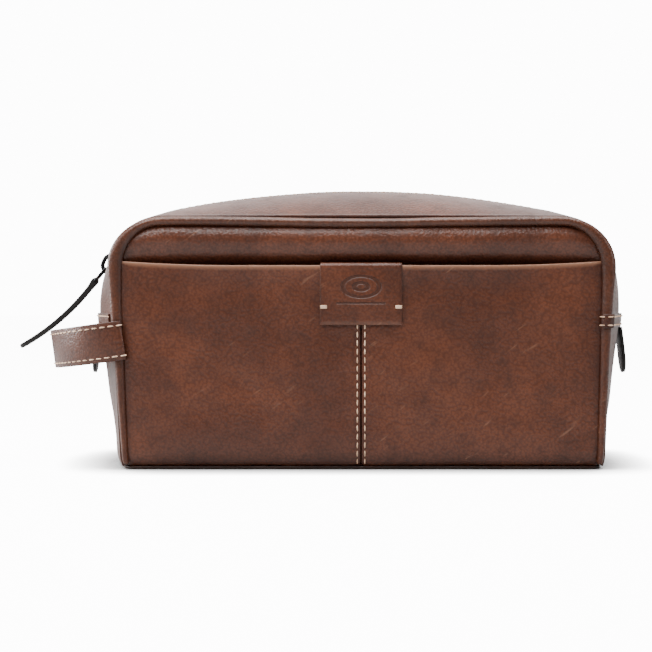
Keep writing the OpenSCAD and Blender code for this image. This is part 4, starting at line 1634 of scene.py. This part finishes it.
def make_link(half=4.4, wire=0.66, bend=1.4):
    down = (link_foot - link_top)
    length = down.length
    down.normalize()
    across = Vector((0, 1, 0))
    corners = [(-half, 0, -1, 1), (-half, length, -1, -1), (half, length, 1, -1), (half, 0, 1, 1)]
    ring = []
    turns = [(180, 270), (90, 180), (0, 90), (-90, 0)]
    for (y, t, sy, st), (a0, a1) in zip(corners, turns):
        centre = (y - sy * bend, t + st * bend)
        for i in range(6):
            a = math.radians(mix(a0, a1, i / 5))
            ring.append((centre[0] + bend * math.cos(a), centre[1] + bend * math.sin(a)))
    ring.sort(key=lambda p: math.atan2(p[1] - length / 2, p[0]))
    points = [link_top + across * y + down * t for y, t in ring]
    normal = across.cross(down).normalized()
    stations = []
    for i, p in enumerate(points):
        along = (points[(i + 1) % len(points)] - points[i - 1]).normalized()
        section = [(wire * math.cos(2 * math.pi * k / 10), wire * math.sin(2 * math.pi * k / 10))
                   for k in range(10)]
        stations.append((p, along.cross(normal), normal, section))
    return dress(sweep("wire_ring", stations, closed=True), gunmetal)


wire_ring = make_link()
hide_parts("wire_link")
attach(wire_ring, "link")
print("slider and link made")

# %% [markdown]
# The pull is one narrow strip folded round the link and glued to itself. It
# swells at the fold and thins a little towards its rounded tip.

# %% The pull
PULL_CURVE, PULL_START, PULL_LEN = 128.0, -36.0, 57.0


def make_pull():
    a0 = math.radians(PULL_START)
    centre = link_foot - Vector((math.cos(a0), 0, math.sin(a0))) * PULL_CURVE
    stations = []
    count = 34
    for i in range(count):
        t = i / (count - 1)
        along = -2.1 + t * (PULL_LEN + 2.0)
        a = a0 - along / PULL_CURVE
        out = Vector((-math.cos(a), 0, -math.sin(a)))
        middle = centre - out * PULL_CURVE
        eye = math.exp(-((along) / 2.6) ** 2)
        half_t = mix(1.5, 2.1, eye) - 0.2 * t
        half_w = 3.35 * mix(1, 0.9, t)
        end = PULL_LEN - along
        if end < 3.4:
            half_w *= math.sqrt(max(0.02, 1 - ((3.4 - end) / 3.4) ** 2))
        if i == 0:
            half_t *= 0.45
        stations.append((middle, (0, 1, 0), out, rounded_section(half_w, half_t, 0.55)))
    strip = sweep("pull_strip", stations, seam=lambda w, t, s: near_edge(3.35 - abs(w), 0.8))
    subdivide = strip.modifiers.new("smooth", "SUBSURF")
    subdivide.levels = subdivide.render_levels = 1
    return dress(plain_mesh(strip), black)


pull = make_pull()
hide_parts("pull_strap")
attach(pull, "pull")
print("pull made", PULL_LEN, "mm long")

# %% [markdown]
# ## The carry loop
# The loop is two straps glued back to back, with dark painted edges and a row of
# stitches along each edge. Its roots stay in the side seams while the loop
# folds.

# %% The carry loop
STRAP_HALF = 10.5
LAYER = 1.5
LOOP_ROOT_X = -128.0
LOOP_DROOP = math.radians(7.8)
fold_at = joint_at["loop_fold"]
LOOP_ROOT = Vector((LOOP_ROOT_X, 0.0, fold_at.z + (LOOP_ROOT_X - fold_at.x) * math.tan(LOOP_DROOP)))
LOOP_HALF = strap_high.y - LAYER
LOOP_REACH = (LOOP_ROOT_X - strap_low.x - STRAP_HALF * math.sin(LOOP_DROOP)) / math.cos(LOOP_DROOP) - LAYER
loop_turn = Matrix.Rotation(-LOOP_DROOP, 3, "Y")
print("loop reach", round(LOOP_REACH, 1), "half", round(LOOP_HALF, 1), "root", LOOP_ROOT)


def loop_out(angle):
    a = math.radians(angle)
    return Vector((-math.cos(a) / LOOP_REACH, math.sin(a) / LOOP_HALF, 0)).normalized()


def loop_point(angle, offset, z):
    a = math.radians(angle)
    local = Vector((-LOOP_REACH * math.cos(a), LOOP_HALF * math.sin(a), z)) + loop_out(angle) * offset
    return LOOP_ROOT + loop_turn @ local


def loop_angles(end, count=61):
    """Angles round the oval at even steps of length."""
    points = [(*loop_point(mix(-end, end, i / 400), 0, 0), mix(-end, end, i / 400)) for i in range(401)]
    return [p[3] for p in resample(points, count)]


def loop_layer(t0, t1, end=93.2):
    stations = []
    for angle in loop_angles(end):
        uneven = 0.12 * noise.noise(Vector((angle / 9, t0, 0)))
        section = rounded_section(STRAP_HALF, (t1 - t0) / 2, 0.5)
        stations.append((loop_point(angle, (t0 + t1) / 2 + uneven, 0), loop_turn @ Vector((0, 0, 1)),
                         loop_turn @ loop_out(angle), section))
    return stations


def strap_seam(w, t, section):
    return near_edge(STRAP_HALF - abs(w), 2.0)


def paint_edges(obj, edge_material):
    up = loop_turn @ Vector((0, 0, 1))
    obj.data.materials.append(edge_material)
    for polygon in obj.data.polygons:
        if abs(polygon.normal.dot(up)) > 0.72:
            polygon.material_index = 1
    return obj


def blend_loop(piece):
    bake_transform(piece)


for name, t0, t1, nodes in (("loop_face", 0.03, LAYER, ("loop_outer", "loop_roots")),
                            ("loop_back", -LAYER, -0.03, ("loop_inner",))):
    layer = sweep(name, loop_layer(t0, t1), seam=strap_seam)
    dress(layer, tan)
    paint_edges(layer, edge_paint)
    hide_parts(*nodes)
    blend_loop(layer)

LOOP_ROW = STRAP_HALF - 2.4
loop_runs = []
for z in (-LOOP_ROW, LOOP_ROW):
    for sign in (1, -1):
        loop_runs.append([(loop_point(angle, sign * (LAYER + 0.02), z), loop_turn @ loop_out(angle) * sign)
                          for angle in loop_angles(92.0)])
loop_rows = lay_row("loop_stitch_rows", loop_runs, stitch, STITCH_PITCH, thread)
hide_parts("loop_stitches")
blend_loop(loop_rows)

# %% [markdown]
# ## Bands and tabs at the ends
# A band crosses each end of the zip and is stitched along both edges. A black
# tab hangs below it and stands a little away from the end.

# %% Bands and tabs
BAND_T = 1.35


def band_line(x_side, z, lift, count=61):
    """Points across the end with their outward turn. The band inside the loop stops
    at the ridges, and the other one passes over them."""
    middle = []
    for j in range(41):
        y = mix(-54, 54, j / 40)
        shape = 0.48 * ripple(x_side * side_point(swell(y), z, 0)[0], y, z, 30)
        x = side_point(swell(y), z, -lift)[0] - shape * (1 - near_edge(57 - abs(y), 18))
        middle.append((x, y, -1.0, 0.006 * y))
    if x_side > 0:
        return resample(middle, count)
    ridge_x = side_point(0, z, RIDGE_INSET)[0]
    reach = ridge_half_width(z) + lift + 0.25
    over = []
    for k in range(13):
        a = math.radians(mix(28, 128, k / 12))
        over.append((ridge_x - reach * math.cos(a), abs(RIDGE_Y) + (3.0 + lift + 0.15) * math.sin(a),
                     -math.cos(a), math.sin(a)))
    front = [(x, -y, ox, -oy) for x, y, ox, oy in reversed(over)]
    return resample(front + middle + over, count)


def band_strip(name, x_side):
    zs = [band_low.z + f for f in (0, 0.5, 1.4, 2.6, 3.75, 4.9, 6.1, 7.0, 7.5)]
    grid = []
    for z in zs:
        dent = 0.12 * math.exp(-((min(z - zs[0], zs[-1] - z) - 1.5) / 0.5) ** 2)
        grid.append([(x_side * x, y, z) for x, y, _, _ in band_line(x_side, z, BAND_T + 0.15 - dent)])

    def seam(p):
        return min(1.0, near_edge(min(p[2] - zs[0], zs[-1] - p[2]), 1.2) + near_edge(57 - abs(p[1]), 4))

    strip = grid_object(name, grid, False, seam)
    fix_outward(strip, Vector((-x_side, 0, 0)))
    return dress(thicken(strip, BAND_T, 0.3), tan)


def band_runs(x_side):
    runs = []
    for z in [band_low.z + f for f in (1.5, band_high.z - band_low.z - 1.5)]:
        runs.append([((x_side * x, y, z), (x_side * ox, oy, 0))
                     for x, y, ox, oy in band_line(x_side, z, BAND_T + 0.1)])
    return runs


TAB_HALF_W, TAB_LEN, TAB_HALF_T = 9.5, 25.0, 0.88
TAB_LEAN = math.radians(8)


def end_tab(name, x_side, joint):
    top = joint_at[joint]
    stations = []
    for i in range(22):
        along = mix(0.03 - TAB_HALF_T, TAB_LEN, i / 21)
        curve = TAB_LEAN * (1 - 0.25 * along / TAB_LEN)
        middle = Vector((top.x - x_side * math.sin(curve) * along, 0, top.z - math.cos(curve) * along))
        out = Vector((-x_side * math.cos(curve), 0, math.sin(curve)))
        rest = max(0.0, along - (TAB_LEN - TAB_HALF_W))
        half = TAB_HALF_W * math.sqrt(max(0.01, 1 - (rest / (TAB_HALF_W + 0.05)) ** 2))
        stations.append((middle, (0, 1, 0), out, rounded_section(half, TAB_HALF_T, 0.4)))
    tab = sweep(name, stations, seam=lambda w, t, s: near_edge(TAB_HALF_W - abs(w), 1.2))
    return dress(tab, black)


for x_side, end in ((1, "left"), (-1, "right")):
    band = band_strip(f"band_{end}", x_side)
    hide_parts(f"end_band_{end}")
    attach(band, "bag")
    tab = end_tab(f"tab_{end}", x_side, f"tab_{end}_swing")
    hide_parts(f"end_tab_{end}")
    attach(tab, f"tab_{end}")
band_rows = lay_row("band_stitch_rows", band_runs(1) + band_runs(-1), stitch, STITCH_PITCH, thread)
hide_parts("band_stitches")
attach(band_rows, "bag")
for part in (stitch, tack_part):
    bpy.data.objects.remove(part)
print("bands and tabs made")

# %% [markdown]
# ## What stays from the CAD
# The stiffener, the padding, the base of the lining and the zip's stops have
# their real shape already. They only need their finish.

# %% Finishes for the CAD nodes that stay
stays = {"base_board": board, "padding_front": foam, "padding_back": foam,
         "lining_base": lining, "zip_stops": gunmetal}
for node, material in stays.items():
    dress(frame["nodes"][node], material)
print("kept", ", ".join(stays))

# %% [markdown]
# The sizes of the CAD model and of this model are put side by side, and the size
# of this model is printed.

# %% Sizes and finish
made_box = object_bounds()
sizes = {"cad": [list(cad_box[0]), list(cad_box[1])], "made": [list(made_box[0]), list(made_box[1])]}
print("size", [round((b - a) * 1000, 1) for a, b in zip(*sizes["made"])])
